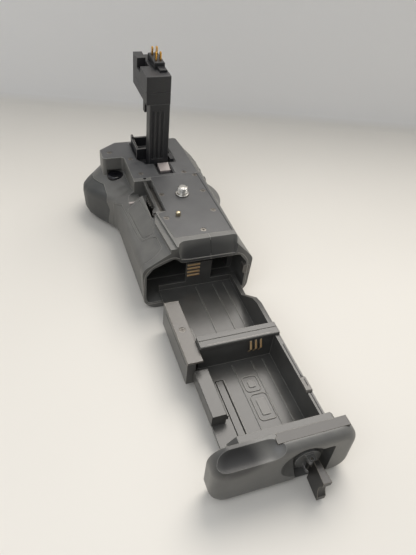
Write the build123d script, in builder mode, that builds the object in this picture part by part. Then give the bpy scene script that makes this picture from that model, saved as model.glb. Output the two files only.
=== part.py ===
"""Camera battery grip, with its battery tray drawn out and its lock key folded out.

X runs along the grip, away from the tray's door. Y runs to the front of the camera, Z is up.
The origin is on the tripod screw's axis, on top of the seating plates. All lengths are in mm.
"""

import os

from build123d import *

os.makedirs("parts", exist_ok=True)

# Clearances and cuts
overrun = 1.0             # how far a cutting tool reaches past the face that it cuts
running_gap = 0.3         # between a sliding piece and its guide
pivot_gap = 0.06          # radial, between a pin and its bore
seam_gap = 0.25           # visible line between two neighbouring covers
button_gap = 0.25         # radial, between a button and its well
seat_gap = 0.2            # between a moving piece and the stop that it comes to

# Battery that the grip takes, two in the tray and a dummy of one on the post
battery_length = 55.2
battery_width = 37.1
battery_thickness = 15.4

# Housing
housing_near = 50.0       # opening plane, ahead of the screw axis
end_wall_thickness = 1.5  # closes the tunnel at the far end
housing_height = 44.5
front_reach = 38.0        # front face at the tray's end
rear_reach = 30.2         # rear face
bulge = 16.2              # how much further the hand grip stands out
end_rounding = 2.6        # how much the far end draws in all round
corner_low = 8.5
corner_shoulder = 6.0
corner_neck = 2.2
platform_depth = 12.5     # the camera platform stands this far above the tray's ceiling
parting_y = 3.0           # the two half shells meet this far behind the screw axis
mouth_depth = 20.0
opening_corner = 2.4
chin_slope = 4.5
chin_round = 5.0

# Seating plates
plate_thickness = 1.2
plate_near = 41.8
plate_seam = 22.6
plate_rear = 18.9
plate_rear_near = 18.4    # the rear edge draws in towards the tray
plate_front = 17.4
platform_rim = 0.7        # the platform's edge that shows around the plates
plate_wheel_front = 20.5
plate_wheel_x = 17.3
plate_corner = 2.0
chin_front = 17.2
chin_rear = 19.2
ledge_height = 3.0        # step from the shoulder band up to the platform

# Tripod screw and its thumbwheel
screw_diameter = 6.35
screw_height = 5.5
screw_collar_diameter = 8.2
screw_collar_height = 1.0
wheel_radius = 22.2
wheel_top = 3.4           # below the plates' top
wheel_thickness = 6.2
wheel_hub_diameter = 14.0
wheel_hub_bore = 6.6
wheel_knurls = 60
wheel_knurl_depth = 0.7
wheel_slot_inner = 15.0   # plate edge beside the wheel
wheel_slot_outer = 18.4   # inner edge of the bar in front of the wheel
wheel_bar_width = 1.9
wheel_bar_height = 2.6
wheel_bay_near = 15.5
wheel_bay_far = 19.3
wheel_bay_floor = 11.4
wheel_gap_front = 23.5    # front edge of the gap that shows the wheel's knurls
finger_bay_near = 8.0     # small bay for the fingertip, at the gap's far end
finger_bay_front = 33.0
finger_bay_floor = 10.0
wheel_roof = 2.0          # left between the wheel's pit and the near plate
wheel_well_gap = 0.6
wheel_spindle_diameter = 5.0
spindle_depth = 1.6
spindle_height = 4.6
guide_pin_x = 21.1         # ahead of the screw axis
guide_pin_y = 9.0
guide_pin_diameter = 3.0
guide_pin_height = 2.6
guide_pin_depth = 2.6
boss_x = 21.9
boss_y = 18.6
boss_hole_diameter = 2.4

# Plate screws
plate_screw_diameter = 3.4
plate_screw_height = 1.0
plate_screw_drive = 0.7
plate_screw_slot_share = 0.6
plate_screw_shank = 1.6
plate_screw_length = 2.6

# Battery tray
tray_floor_rise = 7.0     # bay floor above the housing's underside
tray_hold = 7.8           # how much of the drawn-out tray stays in the housing
tray_floor_thickness = 1.8
tray_inner_rear = 20.0    # inner face of the rear rail, behind the screw axis
bay_side_room = 1.5       # the battery's play across its bay
crossbar_thickness = 7.0
crossbar_height = 17.6
rail_thickness = 2.6
rail_height = 16.0
rail_far_reach = 30.0     # how far the rear rail runs past the crossbar's near face
rail_ramp_length = 13.0
rail_ramp_drop = 8.0
floor_front = 45.9        # front edge of the tray's floor, from the rear rail's inner face
cover_inner = 41.9
cover_outer = 50.3
cover_height = 14.65
cover_thickness = 1.2
cover_near = 6.4          # how far the cover plate runs towards the door from the crossbar
cover_far = 37.5
side_wall = 1.8
end_lip_height = 4.0
end_wall = 1.5
tower_front = 9.4
tower_rear = 6.5
tower_height = 18.0
plug_top_drop = 14.2
plug_thickness = 3.8
floor_rib_width = 0.7
floor_rib_height = 0.35
far_lip_gap = 0.4
cap_thickness = 1.6
cap_overhang = 0.8
cover_screw_along = 16.2  # screw of the cover plate, from the crossbar's near face
plug_front_bevel = 4.0
plug_rear_bevel = 1.5
rib_margin = 2.4
floor_rib_shares = [0.14, 0.31, 0.60]

# Tray contacts
contact_width = 1.1
contact_thickness = 0.35
contact_pitch = 2.9
contact_reach = 2.0
contact_height = 9.0
contact_start = 7.0        # first one, from the rear rail
contact_bow_share = 0.55
strip_count = 4            # flat contacts on the tray's end tower
strip_pitch = 2.7
strip_width = 7.8
strip_height = 1.1
strip_reach = 0.6

# Battery latches on the tray
latch_block_length = 28.0
latch_block_width = 7.6
latch_block_height = 7.6
latch_hook = 1.0
latch_hook_height = 3.0
latch_hook_share = 0.7
latch_far_length = 15.0
latch_far_width = 4.6
tongue_slit = 0.5
tongue_near = 1.6
tongue_far = 10.0
tongue_inner = 31.6
tongue_outer = 35.6
clip_block_length = 9.0
clip_block_start = 30.0
clip_block_height = 1.3
clip_block_width = 3.2

# Door
door_thickness = 9.6
door_top_drop = 13.2      # below the seating plates
door_overhang = 0.6       # how far the door stands past the housing's sides
door_corner = 9.0
door_edge_round = 4.5
door_pocket_depth = 6.0
door_pocket_width = 16.6
door_pocket_height = 23.4
door_pocket_corner = 1.4
dish_radius = 14.0        # room for the key's corner as it turns and folds
dish_sink = 5.5
dish_front = 6.0
dish_rise = 8.0
scoop_radius = 9.5
scoop_front = 34.5
scoop_inner = 13.0
scoop_drop = 8.0
ledge_thickness = 1.0
ledge_front = 9.0
ledge_rear = 27.0
ledge_step_y = 8.0
ledge_step = 1.8

# Lock
lock_y = 10.5             # rotor axis behind the screw axis
lock_rise = 9.1           # rotor axis above the housing's underside
rotor_diameter = 13.0
rotor_face_thickness = 1.2
rotor_shaft_diameter = 5.0
ear_radius = 2.1
ear_inner = 2.7
ear_thickness = 1.9
key_length = 13.6
key_height = 14.8
key_thin = 2.6
key_thick = 4.2
key_notch_radius = 7.0
key_notch_depth = 1.8
key_pin_diameter = 1.6
key_knuckle_radius = 1.7
cam_length = 5.4
cam_width = 4.4
cam_thickness = 1.6
cam_back = 0.3
strike_length = 5.2
strike_width = 14.0
strike_depth = 2.0

# Catch tab on the mouth's rear rim
rim_tab_length = 4.0
rim_tab_inner = 24.9
rim_tab_outer = 28.9
rim_tab_top = 22.0
rim_tab_height = 6.0

# Post: a dummy battery head on a thin leg
post_near = 39.5
post_front = 13.5
post_top = 58.7
post_seam = 48.5
post_underside = 40.9
post_head_length = 36.0
leg_depth = 8.0
leg_width = 13.2
leg_foot = 7.0            # how deep the leg's foot sits under the plates
groove_width = 1.5
groove_depth = 1.0
groove_top = 36.5
groove_bottom = 3.0
seam_depth = 0.4
raised_block_length = 10.5
raised_block_width = 5.6
raised_block_height = 2.0
notch_length = 9.0
notch_depth = 4.2
connector_near = 11.5
connector_length = 17.0
connector_width = 6.6
connector_height = 4.0
connector_step = 5.5
blade_length = 2.6
blade_thickness = 0.8
blade_height = 5.0
blade_pitch_x = 9.0
blade_pitch_y = 2.9
blade_first_x = 4.2
hook_bottom = 30.5
hook_width = 5.5
hook_length = 4.0
hook_back = 12.5
hook_inset = 2.0
leg_wall = 2.2
groove_shares = [0.36, 0.58, 0.80]
head_wall = 1.5
post_side_seam = 45.4
connector_step_share = 0.7

# Post base: well in the far plate, pocket for the camera's own battery cover, light tab
well_near = 24.5
well_far = 68.5
well_rear = 7.5
well_front = 18.6
well_depth = 3.0
well_neck_front = 14.6
well_neck_x = 41.0
well_corner_reach = 5.0   # how far the well's slanted corner runs
liner_wall = 1.0
trough_rear = 2.8
trough_front = 8.6
pocket_near = 50.0
pocket_far = 67.2
pocket_rear = 4.6
pocket_front = 17.3
pocket_height = 5.4
pocket_wall = 1.4
clip_width = 1.6
clip_height = 7.4
tab_near = 31.4
tab_far = 38.9
tab_rear = 1.6
tab_front = 5.6
tab_tilt_drop = 1.6
loop_near = 40.0
loop_far = 47.6
loop_width = 4.0
loop_height = 1.8
loop_bar = 0.9

# Buttons, dial and switch at the far end
shutter_x = 48.6
shutter_y = 32.4
shutter_z = 17.5          # floor of its well, below the plates
shutter_well = 9.0        # depth of its well, which undercuts the lobe's wall
shutter_diameter = 10.5
shutter_height = 5.0
shutter_travel = 1.2
dial_inset = 7.5          # middle of the dial, from the far end
dial_y = 30.0
dial_z = 15.5             # middle of the dial, below the plates
dial_diameter = 17.0
dial_thickness = 4.2
dial_pin_diameter = 3.0
dial_pin_length = 5.6
dial_knurls = 32
rear_button_x = [42.0, 53.0, 64.0]
rear_button_z = 20.0
rear_button_diameter = 6.4
rear_button_height = 3.4
rear_button_stand = 0.85  # how far a button stands out of the rear face
rear_button_travel = 0.8
switch_y = 12.0
switch_z = 22.0
switch_diameter = 9.0
switch_height = 2.6
switch_seat = 0.8
switch_lever_length = 7.0
switch_lever_width = 2.6

# Inside pieces
board_thickness = 1.2
board_near = 27.0
board_far = 66.0
board_rear = 15.0
board_front = 17.6
board_drop = 11.8
ribbon_width = 6.0
ribbon_thickness = 0.3
chip_height = 1.8
chip_shares = [(0.12, 0.20, 0.16), (0.15, 0.62, 0.12), (0.72, 0.14, 0.14), (0.85, 0.86, 0.10)]
dock_length = 7.0
dock_width = 13.0
dock_height = 5.0
dock_contact_width = 2.0
dock_contact_pitch = 3.4
foot_height = 0.5         # rubber feet under the housing
foot_length = 8.0
foot_width = 5.0
foot_near = 46.0
foot_far = 59.0
foot_rear = 26.0
foot_front = 31.0
bush_diameter = 12.0
bush_bore = 6.35
bush_x = 4.0
bush_height = 4.4

# Rubber coverings
rubber_thickness = 1.1

# Platform outline behind the seam
far_edge_x = 71.0
far_rear_cut = 14.0
rear_step = 1.4
lobe_near = 50.5
lobe_far = 62.5
lobe_front = 40.2
lobe_far_drop = 12.0
neck_front = 26.2
rear_bump_radius = 24.3   # round bump behind the wheel's pit
rear_bump_drop = 2.2
rear_bump_round = 1.0
band_front = 23.8
band_reach_x = 24.0
band_near_front = 21.6
band_drop = 1.4

# Places of the plate screws: along the grip and across it
near_screw_places = [(20.2, -14.8), (1.4, -14.2), (-20.2, -13.6), (-37.6, -1.4), (-22.4, 16.6), (2.0, 12.9)]
far_screw_places = [(28.1, 19.6), (58.2, 34.2), (47.5, 22.0), (25.2, -8.8)]
plate_screw_places = near_screw_places + far_screw_places

# Outer form of the housing: each row is a section across the grip. Its shares are the
# station along the housing, how much of the bulge it has, the front shoulder's drop, the
# front neck's reach and drop, the rear neck's reach, the rear shoulder's drop, and how far
# the section is drawn in.
hull_shares = [
    (0.000, 0.00, 0.315, 0.530, 0.070, 0.640, 0.370, 0.00),
    (0.240, 0.00, 0.325, 0.610, 0.080, 0.670, 0.420, 0.00),
    (0.500, 0.00, 0.345, 0.650, 0.090, 0.690, 0.440, 0.00),
    (0.560, 0.01, 0.365, 0.660, 0.150, 0.695, 0.430, 0.00),
    (0.620, 0.08, 0.390, 0.685, 0.230, 0.695, 0.410, 0.00),
    (0.680, 0.38, 0.420, 0.730, 0.265, 0.690, 0.390, 0.00),
    (0.740, 0.72, 0.440, 0.825, 0.275, 0.685, 0.370, 0.00),
    (0.790, 0.93, 0.465, 0.945, 0.270, 0.680, 0.360, 0.00),
    (0.839, 1.00, 0.500, 1.050, 0.265, 0.670, 0.350, 0.00),
    (0.885, 0.94, 0.515, 1.040, 0.267, 0.660, 0.350, 0.00),
    (0.925, 0.78, 0.530, 1.010, 0.272, 0.655, 0.350, 0.05),
    (0.960, 0.58, 0.545, 0.960, 0.282, 0.650, 0.350, 0.15),
    (0.985, 0.42, 0.555, 0.910, 0.295, 0.645, 0.350, 0.45),
    (1.000, 0.28, 0.560, 0.870, 0.310, 0.640, 0.350, 1.00),
]
low_tuck_share = 0.045
rear_neck_drop_share = 0.10

# Outline of the opening in the near end, as shares of the reach across and of the height
opening_shares = [
    (-0.87, 0.895), (0.90, 0.895), (0.93, 0.80), (0.93, 0.43), (0.83, 0.31),
    (0.50, 0.185), (0.38, 0.281), (-0.70, 0.281), (-0.87, 0.43),
]

# Panels on the front of the housing, outlined on the side plane as shares of the housing's
# length and height
side_panel_shares = [
    (0.036, 0.93), (0.036, 0.21), (0.060, 0.125), (0.150, 0.125), (0.182, 0.245),
    (0.455, 0.285), (0.520, 0.30), (0.600, 0.42), (0.640, 0.93),
]
tongue_panel_shares = [
    (0.168, 0.125), (0.192, 0.228), (0.452, 0.262), (0.452, 0.115), (0.270, 0.095),
]
grip_panel_shares = [
    (0.665, 0.93), (0.640, 0.60), (0.665, 0.40), (0.760, 0.355), (0.930, 0.40),
    (0.962, 0.55), (0.950, 0.93),
]
thumb_pad_shares = [
    (0.62, 0.90), (0.62, 0.62), (0.70, 0.56), (0.92, 0.56), (0.955, 0.66), (0.94, 0.90),
]
panel_corner = 3.0

# Derived places
bay_width = battery_width + bay_side_room
bay_length = battery_length + running_gap
floor_z = -housing_height
bay_floor_z = floor_z + tray_floor_rise
tray_bottom_z = bay_floor_z - tray_floor_thickness
tunnel_floor_z = tray_bottom_z - running_gap
tray_end_x = -housing_near + tray_hold
tray_far_x = tray_end_x - end_wall
crossbar_far_x = tray_far_x - bay_length
crossbar_x = crossbar_far_x - crossbar_thickness
bay_near_x = crossbar_x - bay_length
door_back_x = bay_near_x - plug_thickness
door_face_x = door_back_x - door_thickness
rail_y = -tray_inner_rear
crossbar_top_z = bay_floor_z + crossbar_height
rail_top_z = bay_floor_z + rail_height
cover_top_z = bay_floor_z + cover_height
cover_inner_y = rail_y + cover_inner
cover_outer_y = rail_y + cover_outer
floor_front_y = rail_y + floor_front
tray_rear_y = rail_y - rail_thickness
tray_travel = -housing_near - seat_gap - door_back_x
tunnel_end_x = tray_end_x + tray_travel + far_lip_gap
housing_far = tunnel_end_x + end_wall_thickness
dial_x = housing_far - dial_inset
tunnel_rear_y = tray_rear_y - 2 * running_gap
tunnel_front_y = cover_outer_y + 2 * running_gap
tunnel_top_z = crossbar_top_z + 4 * running_gap
ceiling_z = -platform_depth
lock_z = floor_z + lock_rise
liner_floor_z = -plate_thickness - well_depth
dock_x = crossbar_x + tray_travel
rear_well_y = rear_reach + rear_button_stand - rear_button_height - rear_button_travel - seat_gap
well_points = [
    (well_near, -trough_rear), (post_near - overrun, -trough_rear),
    (post_near - overrun, -well_rear), (well_far, -well_rear), (well_far, well_front),
    (well_neck_x + well_corner_reach, well_front), (well_neck_x, well_neck_front),
    (post_near - overrun, well_neck_front), (post_near - overrun, trough_front),
    (well_near, trough_front),
]



def block(x_span, y_span, z_span, mode=Mode.ADD):
    """A square block between two places on each axis."""
    centre = tuple(sum(span) / 2 for span in (x_span, y_span, z_span))
    size = [abs(span[1] - span[0]) for span in (x_span, y_span, z_span)]
    with Locations(centre):
        Box(*size, mode=mode)


def section_plane(x):
    """The plane across the grip at x: its own axes are Y and Z."""
    return Plane(origin=(x, 0, 0), x_dir=(0, 1, 0), z_dir=(1, 0, 0))


def lock_plane(x):
    """The plane across the grip at x, about the lock's axis: its own axes are Y and Z."""
    return Plane(origin=(x, -lock_y, lock_z), x_dir=(0, 1, 0), z_dir=(1, 0, 0))


def side_plane(y):
    """The upright plane along the grip at y: its own axes are X and Z."""
    return Plane(origin=(0, y, 0), x_dir=(1, 0, 0), z_dir=(0, -1, 0))


def prism(plane, points, depth, corner=0, mode=Mode.ADD):
    """A straight piece with its outline drawn on a plane."""
    with BuildSketch(plane, mode=Mode.PRIVATE) as outline:
        with BuildLine():
            FilletPolyline(*points, radius=corner, close=True)
        make_face()
    extrude(outline.sketch, amount=depth, mode=mode)


def rod(plane, radius, depth, mode=Mode.ADD):
    """A round rod from a plane along its normal."""
    with BuildSketch(plane, mode=Mode.PRIVATE) as outline:
        Circle(radius)
    extrude(outline.sketch, amount=depth, mode=mode)


def bounded(plane, x_span, y_span, depth, corner=0, mode=Mode.ADD):
    """A rectangle with round corners on a plane, drawn out to a depth."""
    points = [(x_span[0], y_span[0]), (x_span[1], y_span[0]),
              (x_span[1], y_span[1]), (x_span[0], y_span[1])]
    prism(plane, points, depth, corner, mode)


def keep(part, label):
    """Name a finished piece and write it."""
    part.part.label = label
    export_step(part.part, f"parts/{label}.step")


def hull(inset):
    """The housing's outer form, drawn in by an inset."""
    length = housing_near + housing_far
    with BuildPart() as form:
        for station, out, shoulder, neck, neck_drop, rear_neck, rear_shoulder, drawn in hull_shares:
            tuck = inset + drawn * end_rounding
            front = front_reach + bulge * out - tuck
            low_front = front - low_tuck_share * front_reach
            rear = rear_reach - tuck
            points = [
                (-rear + low_tuck_share * rear_reach, floor_z + tuck),
                (low_front, floor_z + tuck),
                (front, -shoulder * housing_height - tuck),
                (neck * front_reach - tuck, -neck_drop * housing_height - tuck),
                (-rear_neck * rear_reach + tuck, -rear_neck_drop_share * housing_height - tuck),
                (-rear, -rear_shoulder * housing_height - tuck),
            ]
            radii = [corner_low, corner_low, corner_shoulder, corner_neck,
                     corner_neck, corner_shoulder]
            with BuildSketch(section_plane(-housing_near + station * length)):
                with BuildLine():
                    FilletPolyline(*points, radius=radii, close=True)
                make_face()
        loft(ruled=True)
    return form.part


def far_outline(edge):
    """Outline of the far plate, with the lobe over the hand grip; edge draws it in."""
    return [
        (plate_seam, -plate_rear + 2 * edge),
        (far_edge_x - far_rear_cut, -plate_rear + rear_step + edge),
        (far_edge_x - edge, -plate_rear + 2 * rear_step),
        (far_edge_x - edge, lobe_front - lobe_far_drop),
        (lobe_far - edge / 2, lobe_front - edge),
        (lobe_near + edge, lobe_front - edge),
        (lobe_near + edge, neck_front - edge),
        (plate_seam, neck_front - edge),
    ]


def near_plate_outline(edge):
    """Outline of the near plate; edge draws it in."""
    return [
        (-plate_near + edge, -plate_rear_near + edge),
        (plate_seam - edge, -plate_rear + edge),
        (plate_seam - edge, wheel_slot_inner - edge),
        (-wheel_bay_near, wheel_slot_inner - edge),
        (-plate_wheel_x, plate_wheel_front - edge),
        (-plate_near + edge, plate_front - edge),
    ]


def platform():
    """The raised platform that carries the camera, before its plates are let in."""
    with BuildPart() as raised:
        near = [
            (-housing_near, -plate_rear_near - platform_rim),
            (plate_seam + overrun, -plate_rear - platform_rim),
            (plate_seam + overrun, neck_front),
            (wheel_bay_far, neck_front),
            (wheel_bay_far, wheel_slot_outer),
            (-wheel_bay_near, wheel_slot_outer),
            (-wheel_bay_near, plate_wheel_front + platform_rim),
            (-plate_wheel_x, plate_wheel_front + platform_rim),
            (-housing_near, plate_front + platform_rim),
        ]
        prism(Plane.XY.offset(ceiling_z - overrun), near, platform_depth + overrun)
        prism(Plane.XY.offset(ceiling_z - overrun), far_outline(0), platform_depth + overrun,
              corner_neck)
        band = [
            (-housing_near, plate_front - ledge_height),
            (-wheel_bay_near, plate_wheel_front - ledge_height),
            (-wheel_bay_near, plate_wheel_front + band_drop),
            (-band_reach_x, band_front),
            (-housing_near, band_near_front),
        ]
        prism(Plane.XY.offset(ceiling_z - overrun), band,
              platform_depth + overrun - band_drop)
        # Only the rear part of this disc stands out behind the plates
        with BuildPart(mode=Mode.PRIVATE) as bump:
            rod(Plane.XY.offset(ceiling_z - overrun), rear_bump_radius,
                platform_depth + overrun - rear_bump_drop)
            fillet(bump.edges().sort_by(Axis.Z)[-1], rear_bump_round)
            split(bisect_by=Plane.XZ.offset(plate_rear_near), keep=Keep.TOP)
        add(bump.part)
    return raised.part


def side_points(shares):
    """Places on the side plane from shares of the housing's length and height."""
    length = housing_near + housing_far
    return [(-housing_near + along * length, -down * housing_height) for along, down in shares]


def skin(shares, front, corner, edge):
    """A covering let into the housing's front or rear face, with its edge drawn in."""
    reach = front_reach + bulge + overrun
    span = (wheel_slot_outer, reach) if front else (-reach, -wheel_slot_outer)
    with BuildPart() as covering:
        with BuildSketch(side_plane(span[1])) as window:
            with BuildLine():
                FilletPolyline(*side_points(shares), radius=corner, close=True)
            make_face()
            if edge:
                offset(amount=-edge, kind=Kind.INTERSECTION)
        extrude(amount=span[1] - span[0])
        add(rind, mode=Mode.INTERSECT)
    return covering.part


outer_form = hull(0)
with BuildPart() as rind_form:
    add(outer_form)
    add(hull(rubber_thickness), mode=Mode.SUBTRACT)
rind = rind_form.part
panels = {
    "side_rubber_panel": (side_panel_shares, True, panel_corner),
    "tongue_panel": (tongue_panel_shares, True, panel_corner / 2),
    "grip_rubber": (grip_panel_shares, True, panel_corner),
    "thumb_rubber": (thumb_pad_shares, False, panel_corner),
}

# Housing: hull and platform, hollowed out, then parted into two half shells and an end cover
def rear_plane(x, depth):
    """A plane facing the rear at x and the rear buttons' height."""
    return Plane(origin=(x, -depth, -rear_button_z), x_dir=(1, 0, 0), z_dir=(0, -1, 0))


def end_plane(x):
    """A plane facing the far end, at the switch."""
    return Plane(origin=(x, switch_y, -switch_z), x_dir=(0, 1, 0), z_dir=(1, 0, 0))


with BuildPart() as dial_room:
    with Locations((dial_x, dial_y, -dial_z)):
        Cylinder(dial_diameter / 2 + running_gap, dial_thickness + 2 * running_gap)
        Cylinder(dial_pin_diameter / 2, dial_pin_length)
dial_well = dial_room.part

# Bay of the thumbwheel with its gap, and the small bay for the fingertip
with BuildPart() as wheel_room:
    block((-wheel_bay_near, wheel_bay_far), (wheel_slot_inner, wheel_gap_front),
          (-wheel_bay_floor, overrun))
    block((finger_bay_near, wheel_bay_far), (wheel_slot_outer, finger_bay_front),
          (-finger_bay_floor, overrun))
    rod(Plane.XY.offset(-wheel_bay_floor), wheel_radius + wheel_well_gap,
        wheel_bay_floor - plate_thickness - wheel_roof)
wheel_bay = wheel_room.part

with BuildPart() as housing:
    add(outer_form)
    add(platform())
    # The chin slopes back from the opening up to the near edge of the plate
    chin = [
        (-housing_near - overrun, ceiling_z),
        (-housing_near, ceiling_z),
        (-housing_near + 2 * chin_slope, -ceiling_z),
        (-housing_near - overrun, -ceiling_z),
    ]
    with BuildPart(mode=Mode.PRIVATE) as chin_tool:
        prism(side_plane(chin_front), chin, chin_front + chin_rear)
        slanted = chin_tool.edges().filter_by(Axis.Y, reverse=True).group_by(Axis.X)[-1]
        fillet(slanted.sort_by(Axis.Y)[-1], chin_round)
        fillet(chin_tool.edges().filter_by(GeomType.LINE).filter_by(Axis.Y, reverse=True)
               .group_by(Axis.Y)[0].sort_by(Axis.X)[-1], plate_corner)
    add(chin_tool.part, mode=Mode.SUBTRACT)
    # Mouth, and the tunnel that the tray slides in
    mouth = [(across * (front_reach if across > 0 else rear_reach), -down * housing_height)
             for across, down in opening_shares]
    prism(section_plane(-housing_near - overrun), mouth, mouth_depth + overrun, opening_corner,
          mode=Mode.SUBTRACT)
    block((-housing_near - overrun, tunnel_end_x), (tunnel_rear_y, tunnel_front_y),
          (tunnel_floor_z, tunnel_top_z), mode=Mode.SUBTRACT)
    add(wheel_bay, mode=Mode.SUBTRACT)
    rod(Plane.XY.offset(-wheel_bay_floor), screw_collar_diameter / 2 + button_gap,
        wheel_bay_floor + overrun, mode=Mode.SUBTRACT)
    # Hole in the boss beside the wheel
    rod(Plane((boss_x, boss_y, -wheel_bay_floor / 2)), boss_hole_diameter / 2,
        wheel_bay_floor, mode=Mode.SUBTRACT)
    # Seats of the plates
    prism(Plane.XY.offset(-plate_thickness), near_plate_outline(0), plate_thickness + overrun,
          plate_corner / 2, mode=Mode.SUBTRACT)
    with BuildSketch(Plane.XY.offset(-plate_thickness)) as far_seat:
        with BuildLine():
            FilletPolyline(*far_outline(seam_depth), radius=corner_neck, close=True)
        make_face()
    extrude(amount=plate_thickness + overrun, mode=Mode.SUBTRACT)
    # Room for the circuit board and the foot of the post, and the well of the post's base
    block((board_near - running_gap, board_far + running_gap),
          (-board_rear - running_gap, board_front + running_gap),
          (-board_drop, -plate_thickness), mode=Mode.SUBTRACT)
    prism(Plane.XY.offset(liner_floor_z), well_points, -liner_floor_z, mode=Mode.SUBTRACT)
    # Seat of the tripod bush, in the floor
    rod(Plane((bush_x, -parting_y, floor_z - overrun)), bush_diameter / 2,
        bush_height + overrun, mode=Mode.SUBTRACT)
    # Seat of the lock's strike, in the floor of the mouth
    block((-housing_near + seam_depth, -housing_near + seam_depth + strike_length),
          (-lock_y - strike_width / 2, -lock_y + strike_width / 2),
          (tunnel_floor_z - strike_depth, tunnel_floor_z + overrun), mode=Mode.SUBTRACT)
    # Seat of the catch tab in the mouth's rear rim
    block((-housing_near - overrun, -housing_near + rim_tab_length), (-rim_tab_outer, -rim_tab_inner),
          (-rim_tab_top - rim_tab_height, -rim_tab_top), mode=Mode.SUBTRACT)
    # Pocket of the docking contacts, in the tunnel's ceiling
    block((dock_x, dock_x + dock_length), (-dock_width / 2, dock_width / 2),
          (tunnel_top_z, tunnel_top_z + dock_height), mode=Mode.SUBTRACT)
    # Holes of the plate screws and the guide pin
    with Locations(*[(x, y, 0) for x, y in plate_screw_places]):
        Cylinder(plate_screw_shank / 2, 2 * plate_screw_length, mode=Mode.SUBTRACT)
    with Locations((-guide_pin_x, guide_pin_y, 0)):
        Cylinder(guide_pin_diameter / 2, 2 * guide_pin_depth, mode=Mode.SUBTRACT)
    rod(Plane((0, 0, -wheel_bay_floor - spindle_depth)), wheel_spindle_diameter / 2,
        spindle_depth + overrun, mode=Mode.SUBTRACT)
    # Wells of the shutter button, the rear buttons and the switch
    rod(Plane((shutter_x, shutter_y, -shutter_z)), shutter_diameter / 2 + button_gap,
        shutter_well, mode=Mode.SUBTRACT)
    for button_x in rear_button_x:
        rod(rear_plane(button_x, rear_well_y), rear_button_diameter / 2 + button_gap,
            rear_button_height + overrun, mode=Mode.SUBTRACT)
    rod(end_plane(housing_far - switch_seat), switch_diameter / 2 + button_gap,
        switch_seat + overrun, mode=Mode.SUBTRACT)
    for panel_shares, on_front, panel_round in panels.values():
        add(skin(panel_shares, on_front, panel_round, 0), mode=Mode.SUBTRACT)
    # Well of the dial and the seats of its pin
    add(dial_well, mode=Mode.SUBTRACT)
housing_part = housing.part
print("housing volume", round(housing_part.volume), "solids", len(housing_part.solids()))

for panel, (panel_shares, on_front, panel_round) in panels.items():
    with BuildPart() as covering:
        add(skin(panel_shares, on_front, panel_round, seam_gap))
        rod(Plane((shutter_x, shutter_y, -shutter_z)), shutter_diameter / 2 + button_gap,
            shutter_well, mode=Mode.SUBTRACT)
        add(wheel_bay, mode=Mode.SUBTRACT)
    keep(covering, panel)

with BuildPart() as shells:
    add(housing_part)
    split(bisect_by=Plane.YZ.offset(tunnel_end_x), keep=Keep.BOTTOM)

with BuildPart() as front_shell:
    add(shells.part)
    split(bisect_by=Plane.XZ.offset(parting_y), keep=Keep.BOTTOM)
keep(front_shell, "front_shell")

with BuildPart() as rear_shell:
    add(shells.part)
    split(bisect_by=Plane.XZ.offset(parting_y), keep=Keep.TOP)
keep(rear_shell, "rear_shell")

with BuildPart() as end_cover:
    add(housing_part)
    split(bisect_by=Plane.YZ.offset(tunnel_end_x), keep=Keep.TOP)
keep(end_cover, "end_cover")

# Seating plates, with the well for the post's base
with BuildPart() as near_top_plate:
    prism(Plane.XY.offset(-plate_thickness), near_plate_outline(seam_gap / 2), plate_thickness,
          plate_corner / 2)
    with Locations((0, 0, 0)):
        Cylinder(screw_collar_diameter / 2 + button_gap, 2 * overrun + plate_thickness,
                 mode=Mode.SUBTRACT)
    with Locations((-guide_pin_x, guide_pin_y, 0)):
        Cylinder(guide_pin_diameter / 2 + pivot_gap, 2 * overrun + plate_thickness,
                 mode=Mode.SUBTRACT)
    with Locations(*[(x, y, 0) for x, y in near_screw_places]):
        Cylinder(plate_screw_diameter / 2 + pivot_gap, 2 * overrun + plate_thickness,
                 mode=Mode.SUBTRACT)
keep(near_top_plate, "near_top_plate")

with BuildPart() as far_top_plate:
    with BuildSketch(Plane.XY.offset(-plate_thickness)) as far_face:
        with BuildLine():
            FilletPolyline(*far_outline(seam_depth), radius=corner_neck, close=True)
        make_face()
        offset(amount=-seam_gap / 2, kind=Kind.INTERSECTION)
    extrude(amount=plate_thickness)
    prism(Plane.XY.offset(-2 * plate_thickness), well_points, 3 * plate_thickness,
          mode=Mode.SUBTRACT)
    with Locations(*[(x, y, 0) for x, y in far_screw_places]):
        Cylinder(plate_screw_diameter / 2 + pivot_gap, 2 * overrun + plate_thickness,
                 mode=Mode.SUBTRACT)
keep(far_top_plate, "far_top_plate")

screw_slot = plate_screw_diameter * plate_screw_slot_share
with BuildPart() as plate_screws:
    with Locations(*[(x, y, -plate_screw_length) for x, y in plate_screw_places]):
        Cylinder(plate_screw_shank / 2 - pivot_gap, plate_screw_length - plate_thickness,
                 align=(Align.CENTER, Align.CENTER, Align.MIN))
    with Locations(*[(x, y, -plate_thickness) for x, y in plate_screw_places]):
        Cylinder(plate_screw_diameter / 2, plate_screw_height,
                 align=(Align.CENTER, Align.CENTER, Align.MIN))
    with Locations(*[(x, y, -plate_thickness + plate_screw_height) for x, y in plate_screw_places]):
        Box(plate_screw_drive / 2, screw_slot, plate_screw_drive, mode=Mode.SUBTRACT)
        Box(screw_slot, plate_screw_drive / 2, plate_screw_drive, mode=Mode.SUBTRACT)
keep(plate_screws, "plate_screws")

with BuildPart() as guide_pin:
    with Locations((-guide_pin_x, guide_pin_y, -guide_pin_depth)):
        Cylinder(guide_pin_diameter / 2, guide_pin_depth + guide_pin_height,
                 align=(Align.CENTER, Align.CENTER, Align.MIN))
    fillet(guide_pin.edges().sort_by(Axis.Z)[-1], guide_pin_diameter / 3)
keep(guide_pin, "guide_pin")

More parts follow.
